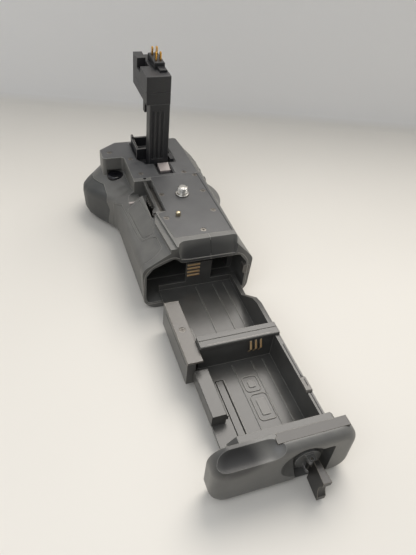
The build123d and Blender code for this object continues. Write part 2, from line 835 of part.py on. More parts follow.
# Thumbwheel, its spindle, the tripod screw and the bar in front of the wheel
with BuildPart() as thumbwheel:
    with BuildSketch(Plane.XY.offset(-wheel_top - wheel_thickness)) as rim:
        Circle(wheel_radius)
        with PolarLocations(wheel_radius, wheel_knurls):
            Circle(wheel_knurl_depth, mode=Mode.SUBTRACT)
    extrude(amount=wheel_thickness)
    rod(Plane.XY.offset(-wheel_bay_floor + running_gap), wheel_hub_diameter / 2, wheel_thickness)
    rod(Plane.XY.offset(-wheel_bay_floor), wheel_spindle_diameter / 2 + pivot_gap, spindle_height,
        mode=Mode.SUBTRACT)
    rod(Plane.XY.offset(-wheel_bay_floor + spindle_height + running_gap), wheel_hub_bore / 2,
        wheel_thickness, mode=Mode.SUBTRACT)
keep(thumbwheel, "thumbwheel")

with BuildPart() as wheel_spindle:
    rod(Plane.XY.offset(-wheel_bay_floor - spindle_depth), wheel_spindle_diameter / 2,
        spindle_depth + spindle_height)
keep(wheel_spindle, "wheel_spindle")

with BuildPart() as tripod_screw:
    rod(Plane.XY.offset(-wheel_bay_floor + spindle_height + running_gap), wheel_hub_bore / 2,
        wheel_bay_floor - spindle_height - running_gap - wheel_top)
    rod(Plane.XY.offset(-wheel_top), screw_collar_diameter / 2, wheel_top + screw_collar_height)
    rod(Plane.XY.offset(screw_collar_height), screw_diameter / 2, screw_height - screw_collar_height)
    chamfer(tripod_screw.edges().sort_by(Axis.Z)[-1], screw_collar_height / 2)
keep(tripod_screw, "tripod_screw")

with BuildPart() as wheel_guard:
    block((-wheel_bay_near, wheel_bay_far), (wheel_slot_outer, wheel_slot_outer + wheel_bar_width),
          (-seam_depth - wheel_bar_height, -seam_depth))
    chamfer(wheel_guard.edges().filter_by(Axis.X), seam_depth)
keep(wheel_guard, "wheel_guard")

# Base of the post
post_front_leg = post_front - battery_thickness + leg_width
with BuildPart() as post_base:
    with BuildSketch(Plane.XY.offset(liner_floor_z)) as liner:
        with BuildLine():
            Polyline(*well_points, close=True)
        make_face()
        offset(amount=-seam_gap / 2, kind=Kind.INTERSECTION)
    extrude(amount=-liner_floor_z - seam_depth)
    with BuildSketch(Plane.XY.offset(-well_depth)) as hollow:
        with BuildLine():
            Polyline(*well_points, close=True)
        make_face()
        offset(amount=-liner_wall, kind=Kind.INTERSECTION)
    extrude(amount=well_depth + overrun, mode=Mode.SUBTRACT)
    block((post_near - button_gap, post_near + leg_depth + button_gap),
          (post_front - battery_thickness - button_gap, post_front_leg + button_gap),
          (liner_floor_z - overrun, 0), mode=Mode.SUBTRACT)
keep(post_base, "post_base")

with BuildPart() as storage_pocket:
    block((pocket_near, pocket_far), (-pocket_rear, pocket_front), (-well_depth, pocket_height))
    block((pocket_near + pocket_wall, pocket_far - pocket_wall),
          (-pocket_rear + pocket_wall, pocket_front - pocket_wall),
          (-well_depth + pocket_wall, pocket_height + overrun), mode=Mode.SUBTRACT)
    block((pocket_near + pocket_wall + clip_width, pocket_far - pocket_wall - clip_width),
          (-pocket_rear - overrun, -pocket_rear + 2 * pocket_wall),
          (pocket_height / 2, pocket_height + overrun), mode=Mode.SUBTRACT)
    block((pocket_far - 2 * clip_width, pocket_far), (pocket_front - pocket_wall, pocket_front),
          (pocket_height - overrun, clip_height))
keep(storage_pocket, "storage_pocket")

with BuildPart() as base_tab:
    wedge = [(tab_near, -well_depth), (tab_far, -well_depth), (tab_far, 0), (tab_near, -tab_tilt_drop)]
    prism(side_plane(tab_front), wedge, tab_front + tab_rear)
keep(base_tab, "base_tab")

with BuildPart() as base_loop:
    block((loop_near, loop_far), (-well_rear + liner_wall + seam_gap, -well_rear + loop_width),
          (-well_depth, loop_height))
    block((loop_near + loop_bar, loop_far - loop_bar), (-well_rear, overrun),
          (-well_depth + loop_bar, loop_height - loop_bar), mode=Mode.SUBTRACT)
keep(base_loop, "base_loop")

# Post
post_rear = post_front - battery_thickness
head_far = post_near + post_head_length
with BuildPart() as post_leg:
    block((post_near, post_near + leg_depth), (post_rear, post_front_leg), (-leg_foot, post_underside))
    block((post_near + leg_wall, post_near + leg_depth - leg_wall),
          (post_rear + leg_wall, post_front_leg - leg_wall), (-leg_foot - overrun, post_underside + overrun),
          mode=Mode.SUBTRACT)
    for groove in range(3):
        across = post_rear + leg_width * groove_shares[groove]
        block((post_near - overrun, post_near + groove_depth),
              (across - groove_width / 2, across + groove_width / 2), (groove_bottom, groove_top),
              mode=Mode.SUBTRACT)
    chamfer(post_leg.edges().filter_by(Axis.Z).group_by(Axis.X)[0], seam_depth)
keep(post_leg, "post_leg")

with BuildPart() as post_head_lower:
    block((post_near, head_far), (post_rear, post_front), (post_underside, post_side_seam))
    block((post_near, post_near + head_wall), (post_rear, post_front), (post_side_seam, post_seam))
    block((post_near + head_wall, head_far - head_wall), (post_rear + head_wall, post_front - head_wall),
          (post_underside + head_wall, post_seam + overrun), mode=Mode.SUBTRACT)
    block((post_near + leg_wall, post_near + leg_depth - leg_wall),
          (post_rear + leg_wall, post_front_leg - leg_wall), (post_underside - overrun, post_seam),
          mode=Mode.SUBTRACT)
    block((post_near + hook_back, post_near + hook_back + hook_length),
          (post_front - hook_width, post_front - hook_inset), (hook_bottom, post_underside + overrun))
keep(post_head_lower, "post_head_lower")

with BuildPart() as post_head_upper:
    block((post_near, head_far), (post_rear, post_front), (post_side_seam + seam_gap, post_top))
    block((post_near - overrun, post_near + head_wall + seam_gap),
          (post_rear - overrun, post_front + overrun),
          (post_side_seam, post_seam + seam_gap), mode=Mode.SUBTRACT)
    block((head_far - raised_block_length, head_far), (post_front - raised_block_width, post_front),
          (post_top - overrun, post_top + raised_block_height))
    block((post_near + head_wall, head_far - head_wall), (post_rear + head_wall, post_front - head_wall),
          (post_side_seam, post_top - head_wall - notch_depth / 2), mode=Mode.SUBTRACT)
    block((head_far - raised_block_length - notch_length, head_far - raised_block_length),
          (post_front - raised_block_width, post_front + overrun),
          (post_top - notch_depth, post_top + overrun),
          mode=Mode.SUBTRACT)
    chamfer(post_head_upper.edges().filter_by(Axis.Y).group_by(Axis.Z)[-2].sort_by(Axis.X)[0], seam_depth)
keep(post_head_upper, "post_head_upper")

connector_x = post_near + connector_near
connector_rear_y = post_rear + overrun
with BuildPart() as post_connector:
    block((connector_x, connector_x + connector_length),
          (connector_rear_y, connector_rear_y + connector_width), (post_top, post_top + connector_height))
    block((connector_x - connector_step, connector_x),
          (connector_rear_y, connector_rear_y + connector_width * connector_step_share),
          (post_top, post_top + connector_height * connector_step_share / 2))
    chamfer(post_connector.faces().sort_by(Axis.Z)[-1].edges(), seam_depth)
keep(post_connector, "post_connector")

with BuildPart() as post_blades:
    for along in range(2):
        for across in range(2):
            blade_x = connector_x + blade_first_x + along * blade_pitch_x
            blade_y = connector_rear_y + connector_width / 2 + (across - 0.5) * blade_pitch_y
            block((blade_x - blade_length / 2, blade_x + blade_length / 2),
                  (blade_y - blade_thickness / 2, blade_y + blade_thickness / 2),
                  (post_top + connector_height, post_top + connector_height + blade_height))
    chamfer(post_blades.edges().filter_by(Axis.Y).group_by(Axis.Z)[-1], blade_length / 3)
keep(post_blades, "post_blades")

# Tray: floor, rails, crossbar, end wall with its contact tower, and the plug at the door
cover_near_x = crossbar_x - cover_near
cover_far_x = crossbar_x + cover_far
plug_front = cover_outer_y - side_wall
with BuildPart() as tray_frame:
    block((bay_near_x, tray_end_x), (tray_rear_y, floor_front_y), (tray_bottom_z, bay_floor_z))
    block((cover_near_x, cover_far_x), (floor_front_y - overrun, cover_outer_y),
          (tray_bottom_z, bay_floor_z))
    rail = [
        (bay_near_x, tray_bottom_z), (tray_end_x, tray_bottom_z),
        (tray_end_x, bay_floor_z + end_lip_height),
        (crossbar_x + rail_far_reach + rail_ramp_length, bay_floor_z + end_lip_height),
        (crossbar_x + rail_far_reach, rail_top_z - rail_ramp_drop / 4),
        (crossbar_x + rail_far_reach - rail_ramp_length / 2, rail_top_z),
        (bay_near_x, rail_top_z),
    ]
    prism(side_plane(rail_y), rail, rail_thickness)
    block((crossbar_x, crossbar_far_x), (tray_rear_y, cover_inner_y),
          (tray_bottom_z, crossbar_top_z - cap_thickness))
    block((tray_far_x, tray_end_x), (rail_y, floor_front_y),
          (tray_bottom_z, bay_floor_z + end_lip_height))
    block((tray_far_x, tray_end_x), (-tower_rear, tower_front),
          (tray_bottom_z, bay_floor_z + tower_height))
    # Box under the cover plate
    block((cover_near_x, cover_far_x), (cover_outer_y - side_wall, cover_outer_y),
          (tray_bottom_z, cover_top_z - cover_thickness))
    for end_x in (cover_near_x, cover_far_x - side_wall):
        block((end_x, end_x + side_wall), (cover_outer_y - latch_far_width, cover_outer_y),
              (tray_bottom_z, cover_top_z - cover_thickness))
    # Plug that fills the housing's mouth behind the door
    plug = [
        (tray_rear_y, tray_bottom_z), (plug_front, tray_bottom_z),
        (plug_front, -plug_top_drop - plug_front_bevel),
        (plug_front - plug_front_bevel, -plug_top_drop),
        (tray_rear_y + plug_rear_bevel, -plug_top_drop),
        (tray_rear_y, -plug_top_drop - plug_rear_bevel),
    ]
    prism(section_plane(door_back_x), plug, plug_thickness)
    # Lines along the floor
    for across in floor_rib_shares:
        rib_y = rail_y + across * bay_width
        for rib_start in (bay_near_x, crossbar_far_x):
            block((rib_start + rib_margin, rib_start + bay_length - rib_margin),
                  (rib_y - floor_rib_width / 2, rib_y + floor_rib_width / 2),
                  (bay_floor_z, bay_floor_z + floor_rib_height))
    # Springy tongue, cut free on three sides
    for across in (tongue_inner, tongue_outer):
        block((bay_near_x + tongue_near, crossbar_x - tongue_far),
              (rail_y + across - tongue_slit / 2, rail_y + across + tongue_slit / 2),
              (tray_bottom_z - overrun, bay_floor_z + overrun), mode=Mode.SUBTRACT)
    block((crossbar_x - tongue_far - tongue_slit, crossbar_x - tongue_far),
          (rail_y + tongue_inner, rail_y + tongue_outer),
          (tray_bottom_z - overrun, bay_floor_z + overrun), mode=Mode.SUBTRACT)
    # Room for the lock's cam, open below, and its shaft's bore
    cam_room = cam_length + 2 * cam_back
    rod(lock_plane(bay_near_x - cam_thickness - 2 * cam_back), cam_room, cam_thickness + 2 * cam_back,
        mode=Mode.SUBTRACT)
    block((bay_near_x - cam_thickness - 2 * cam_back, bay_near_x),
          (-lock_y - cam_width / 2 - cam_back, -lock_y + cam_width / 2 + cam_back),
          (tray_bottom_z - overrun, lock_z), mode=Mode.SUBTRACT)
    rod(lock_plane(door_back_x), rotor_shaft_diameter / 2 + pivot_gap, plug_thickness,
        mode=Mode.SUBTRACT)
keep(tray_frame, "tray_frame")

with BuildPart() as crossbar_cap:
    block((crossbar_x - cap_overhang, crossbar_far_x), (tray_rear_y, cover_inner_y - seam_gap),
          (crossbar_top_z - cap_thickness, crossbar_top_z))
    block((crossbar_x + crossbar_thickness / 2, crossbar_x + crossbar_thickness / 2 + seam_depth),
          (tray_rear_y - overrun, cover_inner_y), (crossbar_top_z - seam_depth, crossbar_top_z + overrun),
          mode=Mode.SUBTRACT)
    chamfer(crossbar_cap.edges().filter_by(Axis.Y).group_by(Axis.Z)[-1].sort_by(Axis.X)[0], seam_depth)
keep(crossbar_cap, "crossbar_cap")

with BuildPart() as tray_cover:
    block((cover_near_x, cover_far_x), (cover_inner_y, cover_outer_y),
          (cover_top_z - cover_thickness, cover_top_z))
    with Locations((crossbar_x + cover_screw_along, (cover_inner_y + cover_outer_y) / 2, cover_top_z)):
        Cylinder(plate_screw_diameter / 2 + pivot_gap, 4 * cover_thickness, mode=Mode.SUBTRACT)
    chamfer(tray_cover.faces().sort_by(Axis.Z)[-1].edges().filter_by(Axis.X), seam_gap)
keep(tray_cover, "tray_cover")

with BuildPart() as tray_screw:
    with Locations((crossbar_x + cover_screw_along, (cover_inner_y + cover_outer_y) / 2,
                    cover_top_z - cover_thickness)):
        Cylinder(plate_screw_diameter / 2, plate_screw_height,
                 align=(Align.CENTER, Align.CENTER, Align.MIN))
    with Locations((crossbar_x + cover_screw_along, (cover_inner_y + cover_outer_y) / 2, cover_top_z)):
        Box(plate_screw_drive / 2, screw_slot, plate_screw_drive, mode=Mode.SUBTRACT)
        Box(screw_slot, plate_screw_drive / 2, plate_screw_drive, mode=Mode.SUBTRACT)
keep(tray_screw, "tray_screw")


def bent_contacts(face_x, first_y, top_z, width, pitch):
    """Three bowed contact springs standing on an upright face that looks to the door."""
    bow = [
        (face_x, top_z), (face_x - contact_reach, top_z - contact_height * contact_bow_share),
        (face_x, top_z - contact_height), (face_x, top_z - contact_height + 2 * contact_thickness),
        (face_x - contact_reach + contact_thickness, top_z - contact_height * contact_bow_share),
        (face_x, top_z - 2 * contact_thickness),
    ]
    for place in range(3):
        prism(side_plane(first_y + place * pitch + width), bow, width)


with BuildPart() as near_contacts:
    bent_contacts(crossbar_x, rail_y + contact_start, crossbar_top_z - 2 * cap_thickness,
                  contact_width, contact_pitch)
keep(near_contacts, "near_contacts")

with BuildPart() as far_contacts:
    for place in range(strip_count):
        strip_z = bay_floor_z + tower_height - seam_depth - place * strip_pitch
        block((tray_far_x - strip_reach, tray_far_x),
              (tower_front - strip_width - strip_height / 2, tower_front - strip_height / 2),
              (strip_z - strip_height, strip_z))
keep(far_contacts, "far_contacts")

latch_start_y = rail_y + bay_width + running_gap
with BuildPart() as near_latch:
    block((cover_near_x - latch_block_length - seam_gap, cover_near_x - seam_gap),
          (latch_start_y, latch_start_y + latch_block_width),
          (bay_floor_z + running_gap, bay_floor_z + latch_block_height))
    block((cover_near_x - latch_block_length - seam_gap,
           cover_near_x - latch_block_length * latch_hook_share),
          (latch_start_y - latch_hook, latch_start_y + overrun),
          (bay_floor_z + latch_hook_height, bay_floor_z + 2 * latch_hook_height))
    chamfer(near_latch.faces().sort_by(Axis.Z)[-1].edges().filter_by(Axis.X), seam_depth)
keep(near_latch, "near_latch")

with BuildPart() as far_latch:
    block((crossbar_far_x + seam_gap, crossbar_far_x + latch_far_length),
          (latch_start_y, latch_start_y + latch_far_width),
          (bay_floor_z + running_gap, bay_floor_z + latch_block_height))
    block((crossbar_far_x + latch_far_length / 2, crossbar_far_x + latch_far_length),
          (latch_start_y - latch_hook, latch_start_y + overrun),
          (bay_floor_z + latch_hook_height, bay_floor_z + 2 * latch_hook_height))
keep(far_latch, "far_latch")

with BuildPart() as rail_clip:
    block((crossbar_x - clip_block_start - clip_block_length, crossbar_x - clip_block_start),
          (tray_rear_y, tray_rear_y + clip_block_width), (rail_top_z, rail_top_z + clip_block_height))
    chamfer(rail_clip.edges().filter_by(Axis.Y).group_by(Axis.Z)[-1], clip_block_height / 2)
keep(rail_clip, "rail_clip")


def ledge_points(edge):
    """Outline of the plate let into the door's top."""
    return [
        (door_face_x + door_edge_round + edge, -ledge_rear + edge),
        (door_back_x, -ledge_rear + edge),
        (door_back_x, ledge_step_y - edge),
        (door_back_x - ledge_step, ledge_step_y - edge),
        (door_back_x - ledge_step, ledge_front - edge),
        (door_face_x + door_edge_round + edge, ledge_front - edge),
    ]


# Door
door_front = front_reach + door_overhang
door_rear = rear_reach + door_overhang
pocket_floor_x = door_face_x + door_pocket_depth
pocket_low = lock_z - key_height / 2 - running_gap
with BuildPart() as door_cap:
    door_points = [(-door_rear, floor_z), (door_front, floor_z), (door_front, -door_top_drop),
                   (-door_rear, -door_top_drop)]
    prism(section_plane(door_face_x), door_points, door_thickness, door_corner)
    fillet(door_cap.faces().sort_by(Axis.X)[0].edges(), door_edge_round)
    # Recess for the folded key
    bounded(section_plane(door_face_x - overrun),
            (-lock_y - door_pocket_width / 2, -lock_y + door_pocket_width / 2),
            (pocket_low, pocket_low + door_pocket_height), door_pocket_depth + overrun,
            door_pocket_corner, mode=Mode.SUBTRACT)
    rod(lock_plane(pocket_floor_x), rotor_shaft_diameter / 2 + pivot_gap, door_thickness,
        mode=Mode.SUBTRACT)
    # Dish beside the recess, for a finger and for the key's corner
    with Locations((door_face_x - dish_radius + dish_sink, -lock_y + dish_front, lock_z + dish_rise)):
        Sphere(dish_radius, mode=Mode.SUBTRACT)
    # Soft finger scoop at the upper front corner
    with Locations(Location((door_face_x, scoop_inner, -scoop_drop), (90, 0, 0))):
        Sphere(scoop_radius, mode=Mode.SUBTRACT)
        Cylinder(scoop_radius, scoop_front - scoop_inner, mode=Mode.SUBTRACT,
                 align=(Align.CENTER, Align.CENTER, Align.MAX))
    with Locations((door_face_x, scoop_front, -scoop_drop)):
        Sphere(scoop_radius, mode=Mode.SUBTRACT)
    # Seat of the ledge on top
    prism(Plane.XY.offset(-door_top_drop - ledge_thickness), ledge_points(0),
          ledge_thickness + overrun, mode=Mode.SUBTRACT)
keep(door_cap, "door_cap")

with BuildPart() as door_ledge:
    prism(Plane.XY.offset(-door_top_drop - ledge_thickness), ledge_points(seam_gap / 2), ledge_thickness)
keep(door_ledge, "door_ledge")

# Lock: rotor with two ears, the key that folds on it, its pin and the cam behind the door
rotor_floor_x = pocket_floor_x - seat_gap
rotor_top_x = rotor_floor_x - rotor_face_thickness
pin_x = rotor_top_x - running_gap - key_thick / 2
with BuildPart() as lock_rotor:
    rod(lock_plane(rotor_top_x), rotor_diameter / 2, rotor_face_thickness)
    rod(lock_plane(rotor_top_x), rotor_shaft_diameter / 2, bay_near_x - cam_back - rotor_top_x)
    for side in (-1, 1):
        low = lock_z + side * ear_inner
        high = low + side * ear_thickness
        block((pin_x, rotor_top_x + overrun / 2), (-lock_y - ear_radius, -lock_y + ear_radius), (low, high))
        rod(Plane((pin_x, -lock_y, min(low, high))), ear_radius, ear_thickness)
    rod(Plane((pin_x, -lock_y, lock_z - key_height / 2)), key_pin_diameter / 2 + pivot_gap, key_height,
        mode=Mode.SUBTRACT)
keep(lock_rotor, "lock_rotor")

with BuildPart() as lock_cam:
    cam_face_x = bay_near_x - cam_back - cam_thickness
    block((cam_face_x, cam_face_x + cam_thickness), (-lock_y - cam_length, -lock_y + cam_width / 2),
          (lock_z - cam_width / 2, lock_z + cam_width / 2))
    rod(lock_plane(cam_face_x), rotor_shaft_diameter / 2, cam_thickness, mode=Mode.SUBTRACT)
keep(lock_cam, "lock_cam")

with BuildPart() as key_pin:
    rod(Plane((pin_x, -lock_y, lock_z - ear_inner - ear_thickness)), key_pin_diameter / 2,
        2 * (ear_inner + ear_thickness))
keep(key_pin, "key_pin")

with BuildPart() as lock_key:
    blade_start = ear_radius + running_gap
    knuckle = ear_inner - running_gap / 2
    rod(Plane((pin_x, -lock_y, lock_z - knuckle)), key_knuckle_radius, 2 * knuckle)
    block((pin_x - blade_start - overrun, pin_x), (-lock_y - key_thin / 2, -lock_y + key_thin / 2),
          (lock_z - knuckle, lock_z + knuckle))
    flare = [
        (pin_x - blade_start, -lock_y - key_thin / 2), (pin_x - key_length, -lock_y - key_thick / 2),
        (pin_x - key_length, -lock_y + key_thick / 2), (pin_x - blade_start, -lock_y + key_thin / 2),
    ]
    prism(Plane.XY.offset(lock_z - key_height / 2), flare, key_height)
    with Locations(Location((pin_x - key_length - key_notch_radius + key_notch_depth, -lock_y, lock_z),
                            (90, 0, 0))):
        Cylinder(key_notch_radius, 2 * key_thick, mode=Mode.SUBTRACT)
    rod(Plane((pin_x, -lock_y, lock_z - key_height)), key_pin_diameter / 2 + pivot_gap, 2 * key_height,
        mode=Mode.SUBTRACT)
keep(lock_key, "lock_key")

with BuildPart() as lock_strike:
    strike_near = -housing_near + seam_depth
    block((strike_near, strike_near + strike_length),
          (-lock_y - strike_width / 2, -lock_y + strike_width / 2),
          (tunnel_floor_z - strike_depth, tunnel_floor_z))
    cam_closed_x = bay_near_x - cam_back - cam_thickness + tray_travel
    block((cam_closed_x - seat_gap, cam_closed_x + cam_thickness + running_gap),
          (-lock_y - cam_width / 2 - running_gap, -lock_y + cam_width / 2 + running_gap),
          (tunnel_floor_z - strike_depth, tunnel_floor_z), mode=Mode.SUBTRACT)
keep(lock_strike, "lock_strike")

with BuildPart() as rim_tab:
    block((-housing_near, -housing_near + rim_tab_length), (-rim_tab_outer, -rim_tab_inner),
          (-rim_tab_top - rim_tab_height, -rim_tab_top))
    chamfer(rim_tab.edges().filter_by(Axis.X).group_by(Axis.Y)[-1], seam_depth)
keep(rim_tab, "rim_tab")

# Buttons, dial and switch
with BuildPart() as shutter_button:
    rod(Plane((shutter_x, shutter_y, -shutter_z + shutter_travel + seat_gap)), shutter_diameter / 2,
        shutter_height)
    fillet(shutter_button.edges().sort_by(Axis.Z)[-1], shutter_height / 4)
keep(shutter_button, "shutter_button")

with BuildPart() as main_dial:
    with BuildSketch(Plane.XY.offset(-dial_z - dial_thickness / 2)) as dial_rim:
        with Locations((dial_x, dial_y)):
            Circle(dial_diameter / 2)
            with PolarLocations(dial_diameter / 2, dial_knurls):
                Circle(wheel_knurl_depth / 2, mode=Mode.SUBTRACT)
            Circle(dial_pin_diameter / 2 + pivot_gap, mode=Mode.SUBTRACT)
    extrude(amount=dial_thickness)
keep(main_dial, "main_dial")

with BuildPart() as dial_pin:
    with Locations((dial_x, dial_y, -dial_z)):
        Cylinder(dial_pin_diameter / 2, dial_pin_length)
keep(dial_pin, "dial_pin")

for number, button_x in enumerate(rear_button_x):
    with BuildPart() as rear_button:
        rod(rear_plane(button_x, rear_well_y + rear_button_travel + seat_gap), rear_button_diameter / 2,
            rear_button_height)
        fillet(rear_button.edges().sort_by(Axis.Y)[0], rear_button_height / 5)
    keep(rear_button, f"rear_button_{number + 1}")

with BuildPart() as power_switch:
    rod(end_plane(housing_far - switch_seat + seat_gap), switch_diameter / 2, switch_height / 2)
    with Locations(Location((housing_far - switch_seat + seat_gap + switch_height / 2, switch_y, -switch_z))):
        Box(switch_height, switch_lever_length, switch_lever_width)
keep(power_switch, "power_switch")

# Pieces inside
with BuildPart() as circuit_board:
    block((board_near, board_far), (-board_rear, board_front), (-board_drop, -board_drop + board_thickness))
keep(circuit_board, "circuit_board")

with BuildPart() as board_chips:
    chip_z = -board_drop + board_thickness
    for chip_x_share, chip_y_share, chip_size_share in chip_shares:
        chip_x = board_near + chip_x_share * (board_far - board_near)
        chip_y = -board_rear + chip_y_share * (board_rear + board_front)
        chip = chip_size_share * (board_far - board_near)
        block((chip_x - chip / 2, chip_x + chip / 2), (chip_y - chip / 2, chip_y + chip / 2),
              (chip_z, chip_z + chip_height))
keep(board_chips, "board_chips")

with BuildPart() as foot_pads:
    for foot_x in (-foot_near, foot_far - foot_length):
        for foot_y in (-foot_rear, foot_front - foot_width):
            block((foot_x, foot_x + foot_length), (foot_y, foot_y + foot_width),
                  (floor_z - foot_height, floor_z))
keep(foot_pads, "foot_pads")

with BuildPart() as ribbon_cable:
    ribbon_x = post_near + leg_depth / 2
    ribbon_y = (post_rear + post_front_leg) / 2
    block((ribbon_x - ribbon_thickness / 2, ribbon_x + ribbon_thickness / 2),
          (ribbon_y - ribbon_width / 2, ribbon_y + ribbon_width / 2), (chip_z, post_underside + leg_foot / 2))
keep(ribbon_cable, "ribbon_cable")

with BuildPart() as dock_block:
    block((dock_x, dock_x + dock_length), (-dock_width / 2, dock_width / 2),
          (tunnel_top_z, tunnel_top_z + dock_height))
keep(dock_block, "dock_block")

with BuildPart() as dock_contacts:
    for place in (-1, 0, 1):
        block((dock_x + overrun, dock_x + dock_length - overrun),
              (place * dock_contact_pitch - dock_contact_width / 2,
               place * dock_contact_pitch + dock_contact_width / 2),
              (tunnel_top_z - contact_thickness, tunnel_top_z))
keep(dock_contacts, "dock_contacts")

with BuildPart() as tripod_bush:
    rod(Plane((bush_x, -parting_y, floor_z)), bush_diameter / 2, bush_height)
    rod(Plane((bush_x, -parting_y, floor_z - overrun)), bush_bore / 2, bush_height + 2 * overrun,
        mode=Mode.SUBTRACT)
keep(tripod_bush, "tripod_bush")
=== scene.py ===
"""Looks of a camera battery grip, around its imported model.

X runs along the grip, away from the tray's door. Y runs to the front of the camera, Z is up.
The origin is on the tripod screw's axis, on top of the seating plates. Lengths are in metres,
but in millimetres where new pieces are made and where a name or a comment says so.
"""

import bpy
import bmesh
import math
from mathutils import Matrix, Vector


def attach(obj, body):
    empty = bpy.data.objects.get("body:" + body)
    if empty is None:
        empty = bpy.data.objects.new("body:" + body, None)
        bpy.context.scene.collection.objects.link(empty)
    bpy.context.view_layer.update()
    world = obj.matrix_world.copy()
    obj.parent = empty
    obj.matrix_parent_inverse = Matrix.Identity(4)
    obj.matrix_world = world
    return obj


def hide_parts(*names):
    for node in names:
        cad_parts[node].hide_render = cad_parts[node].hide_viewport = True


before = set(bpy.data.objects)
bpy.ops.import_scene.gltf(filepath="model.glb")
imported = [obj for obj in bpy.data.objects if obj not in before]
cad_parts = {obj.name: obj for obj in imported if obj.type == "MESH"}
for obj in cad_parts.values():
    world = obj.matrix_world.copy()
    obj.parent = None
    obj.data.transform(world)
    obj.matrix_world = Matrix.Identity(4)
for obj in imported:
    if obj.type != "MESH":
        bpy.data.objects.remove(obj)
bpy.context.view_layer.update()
scene = bpy.context.scene
MM = 0.001

# Camera: the photograph's viewpoint
PHOTO_HEIGHT = 555
FOCAL_PIXELS = 538.05
CAMERA_AT = (-0.26979, 0.09348, 0.18821)
CAMERA_YAW = -0.4116
CAMERA_PITCH = 0.7317
CAMERA_ROLL = 0.1186
CAMERA_NEAREST = 0.01
SENSOR = 36.0

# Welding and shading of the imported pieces
WELD = 0.000004
SHARP_ANGLE = 32

# Finishes: how finely edges are sampled, and how far a normal leans where an edge starts and is full
EDGE_SAMPLES = 6
EDGE_STARTS = 0.995
EDGE_FULL = 0.85
PLASTIC_IOR = 1.54

# Finishes: the parts of a noise's range over which the darker shade turns to the paler one
PATCH_RANGE = (0.35, 0.65)
MARK_RANGE = (0.3, 0.7)
MOTTLE_RANGE = (0.3, 0.7)

# Metals: how much smoother and rougher than its middle value a surface gets
METAL_SMOOTHER = 0.05
METAL_ROUGHER = 0.08

# Finishes: how far out a spot of painted shade fades and is full, as a share of its half size
SPOT_FADED = 1.1
SPOT_FULL = 0.45

# New pieces: steps in a rounded corner, round a turned piece and in a turn of the thread
CORNER_STEPS = 4
TURN_STEPS = 48
THREAD_STEPS = 36

# A line's rounded corner takes at most this share of the sides that meet there, as a divisor
CORNER_DIVISOR = 2.2

# The tripod screw's thread: its pitch in millimetres, and its turns
THREAD_PITCH = 1.27
THREAD_TURNS = 2.75

# Lines laid on the surface: how far they stand out, and the rib's height, in millimetres
LINE_HEIGHT = 0.04
RIM_LINE_HEIGHT = 0.05
RIB_HEIGHT = 0.5

# A laid strip's thickness as a share of how far it stands out: the rest is sunk
STRIP_DEPTH = 1.5

# Floor and wall: the line of the wall's foot, its rounding, and the sheet's size
TABLE_Z = -0.04502
FOOT_LEFT = (0.2499, 0.1009, TABLE_Z)
FOOT_RIGHT = (0.1233, -0.2839, TABLE_Z)
FOOT_RADIUS = 0.008
FOOT_STEPS = 8
FOOT_SHIFT = 0.3
FLOOR_DEPTH = 1.6
SHEET_WIDTH = 3.4
SHEET_LEFT = 1.5
BACKDROP_HEIGHT = 0.26
WALL_TONE_FROM = 0.002
WALL_TONE_FULL = 0.008

# Paper: the size of its mottle as a noise scale, its roughness and its specular level
MOTTLE_SCALE = 4.0
PAPER_ROUGHNESS = 0.55
PAPER_SPECULAR = 0.3

# Air around the table: the way to its bright side, its strength there and across from it, and how
# nearly a direction has to point that way, as a cosine, to be fully dim or fully bright
AIR_FROM = (0.74, -0.22, 0.63)
AIR_BRIGHT = 0.95
AIR_DIM = 0.26
AIR_DIM_AT = -0.55
AIR_BRIGHT_AT = 0.9


def make_camera():
    """The camera where the photograph was taken from, level but for a slight roll."""
    forward = Vector((math.cos(CAMERA_PITCH) * math.cos(CAMERA_YAW),
                      math.cos(CAMERA_PITCH) * math.sin(CAMERA_YAW), -math.sin(CAMERA_PITCH)))
    level_right = Vector((math.sin(CAMERA_YAW), -math.cos(CAMERA_YAW), 0))
    level_up = level_right.cross(forward)
    right = level_right * math.cos(CAMERA_ROLL) + level_up * math.sin(CAMERA_ROLL)
    up = level_up * math.cos(CAMERA_ROLL) - level_right * math.sin(CAMERA_ROLL)
    data = bpy.data.cameras.new("camera")
    data.sensor_width = SENSOR
    data.lens = SENSOR * FOCAL_PIXELS / PHOTO_HEIGHT
    data.clip_start = CAMERA_NEAREST
    camera = bpy.data.objects.new("camera", data)
    turned = Matrix((right, up, -forward)).transposed().to_4x4()
    camera.matrix_world = Matrix.Translation(CAMERA_AT) @ turned
    scene.collection.objects.link(camera)
    scene.camera = camera


make_camera()


# Materials

def linear(hex_colour):
    """An sRGB hex colour as linear RGBA."""
    parts = [int(hex_colour[i:i + 2], 16) / 255 for i in (1, 3, 5)]
    return tuple(c / 12.92 if c <= 0.04045 else ((c + 0.055) / 1.055) ** 2.4 for c in parts) + (1.0,)


def add_node(tree, kind, links=None, stops=(), **settings):
    """A node with its settings, its inputs, each a value or another's output, and a ramp's stops."""
    node = tree.nodes.new(kind)
    for name, value in settings.items():
        setattr(node, name, value)
    for stop, (place, colour) in enumerate(stops):
        element = node.color_ramp.elements[stop]
        element.position = place
        element.color = colour
    for name, value in (links or {}).items():
        socket = node.inputs[name]
        if isinstance(value, bpy.types.NodeSocket):
            tree.links.new(value, socket)
        else:
            socket.default_value = value
    return node


def start_material(name):
    """A new material with its tree and its shader."""
    material = bpy.data.materials.new(name)
    material.use_nodes = True
    tree = material.node_tree
    return material, tree, tree.nodes["Principled BSDF"]


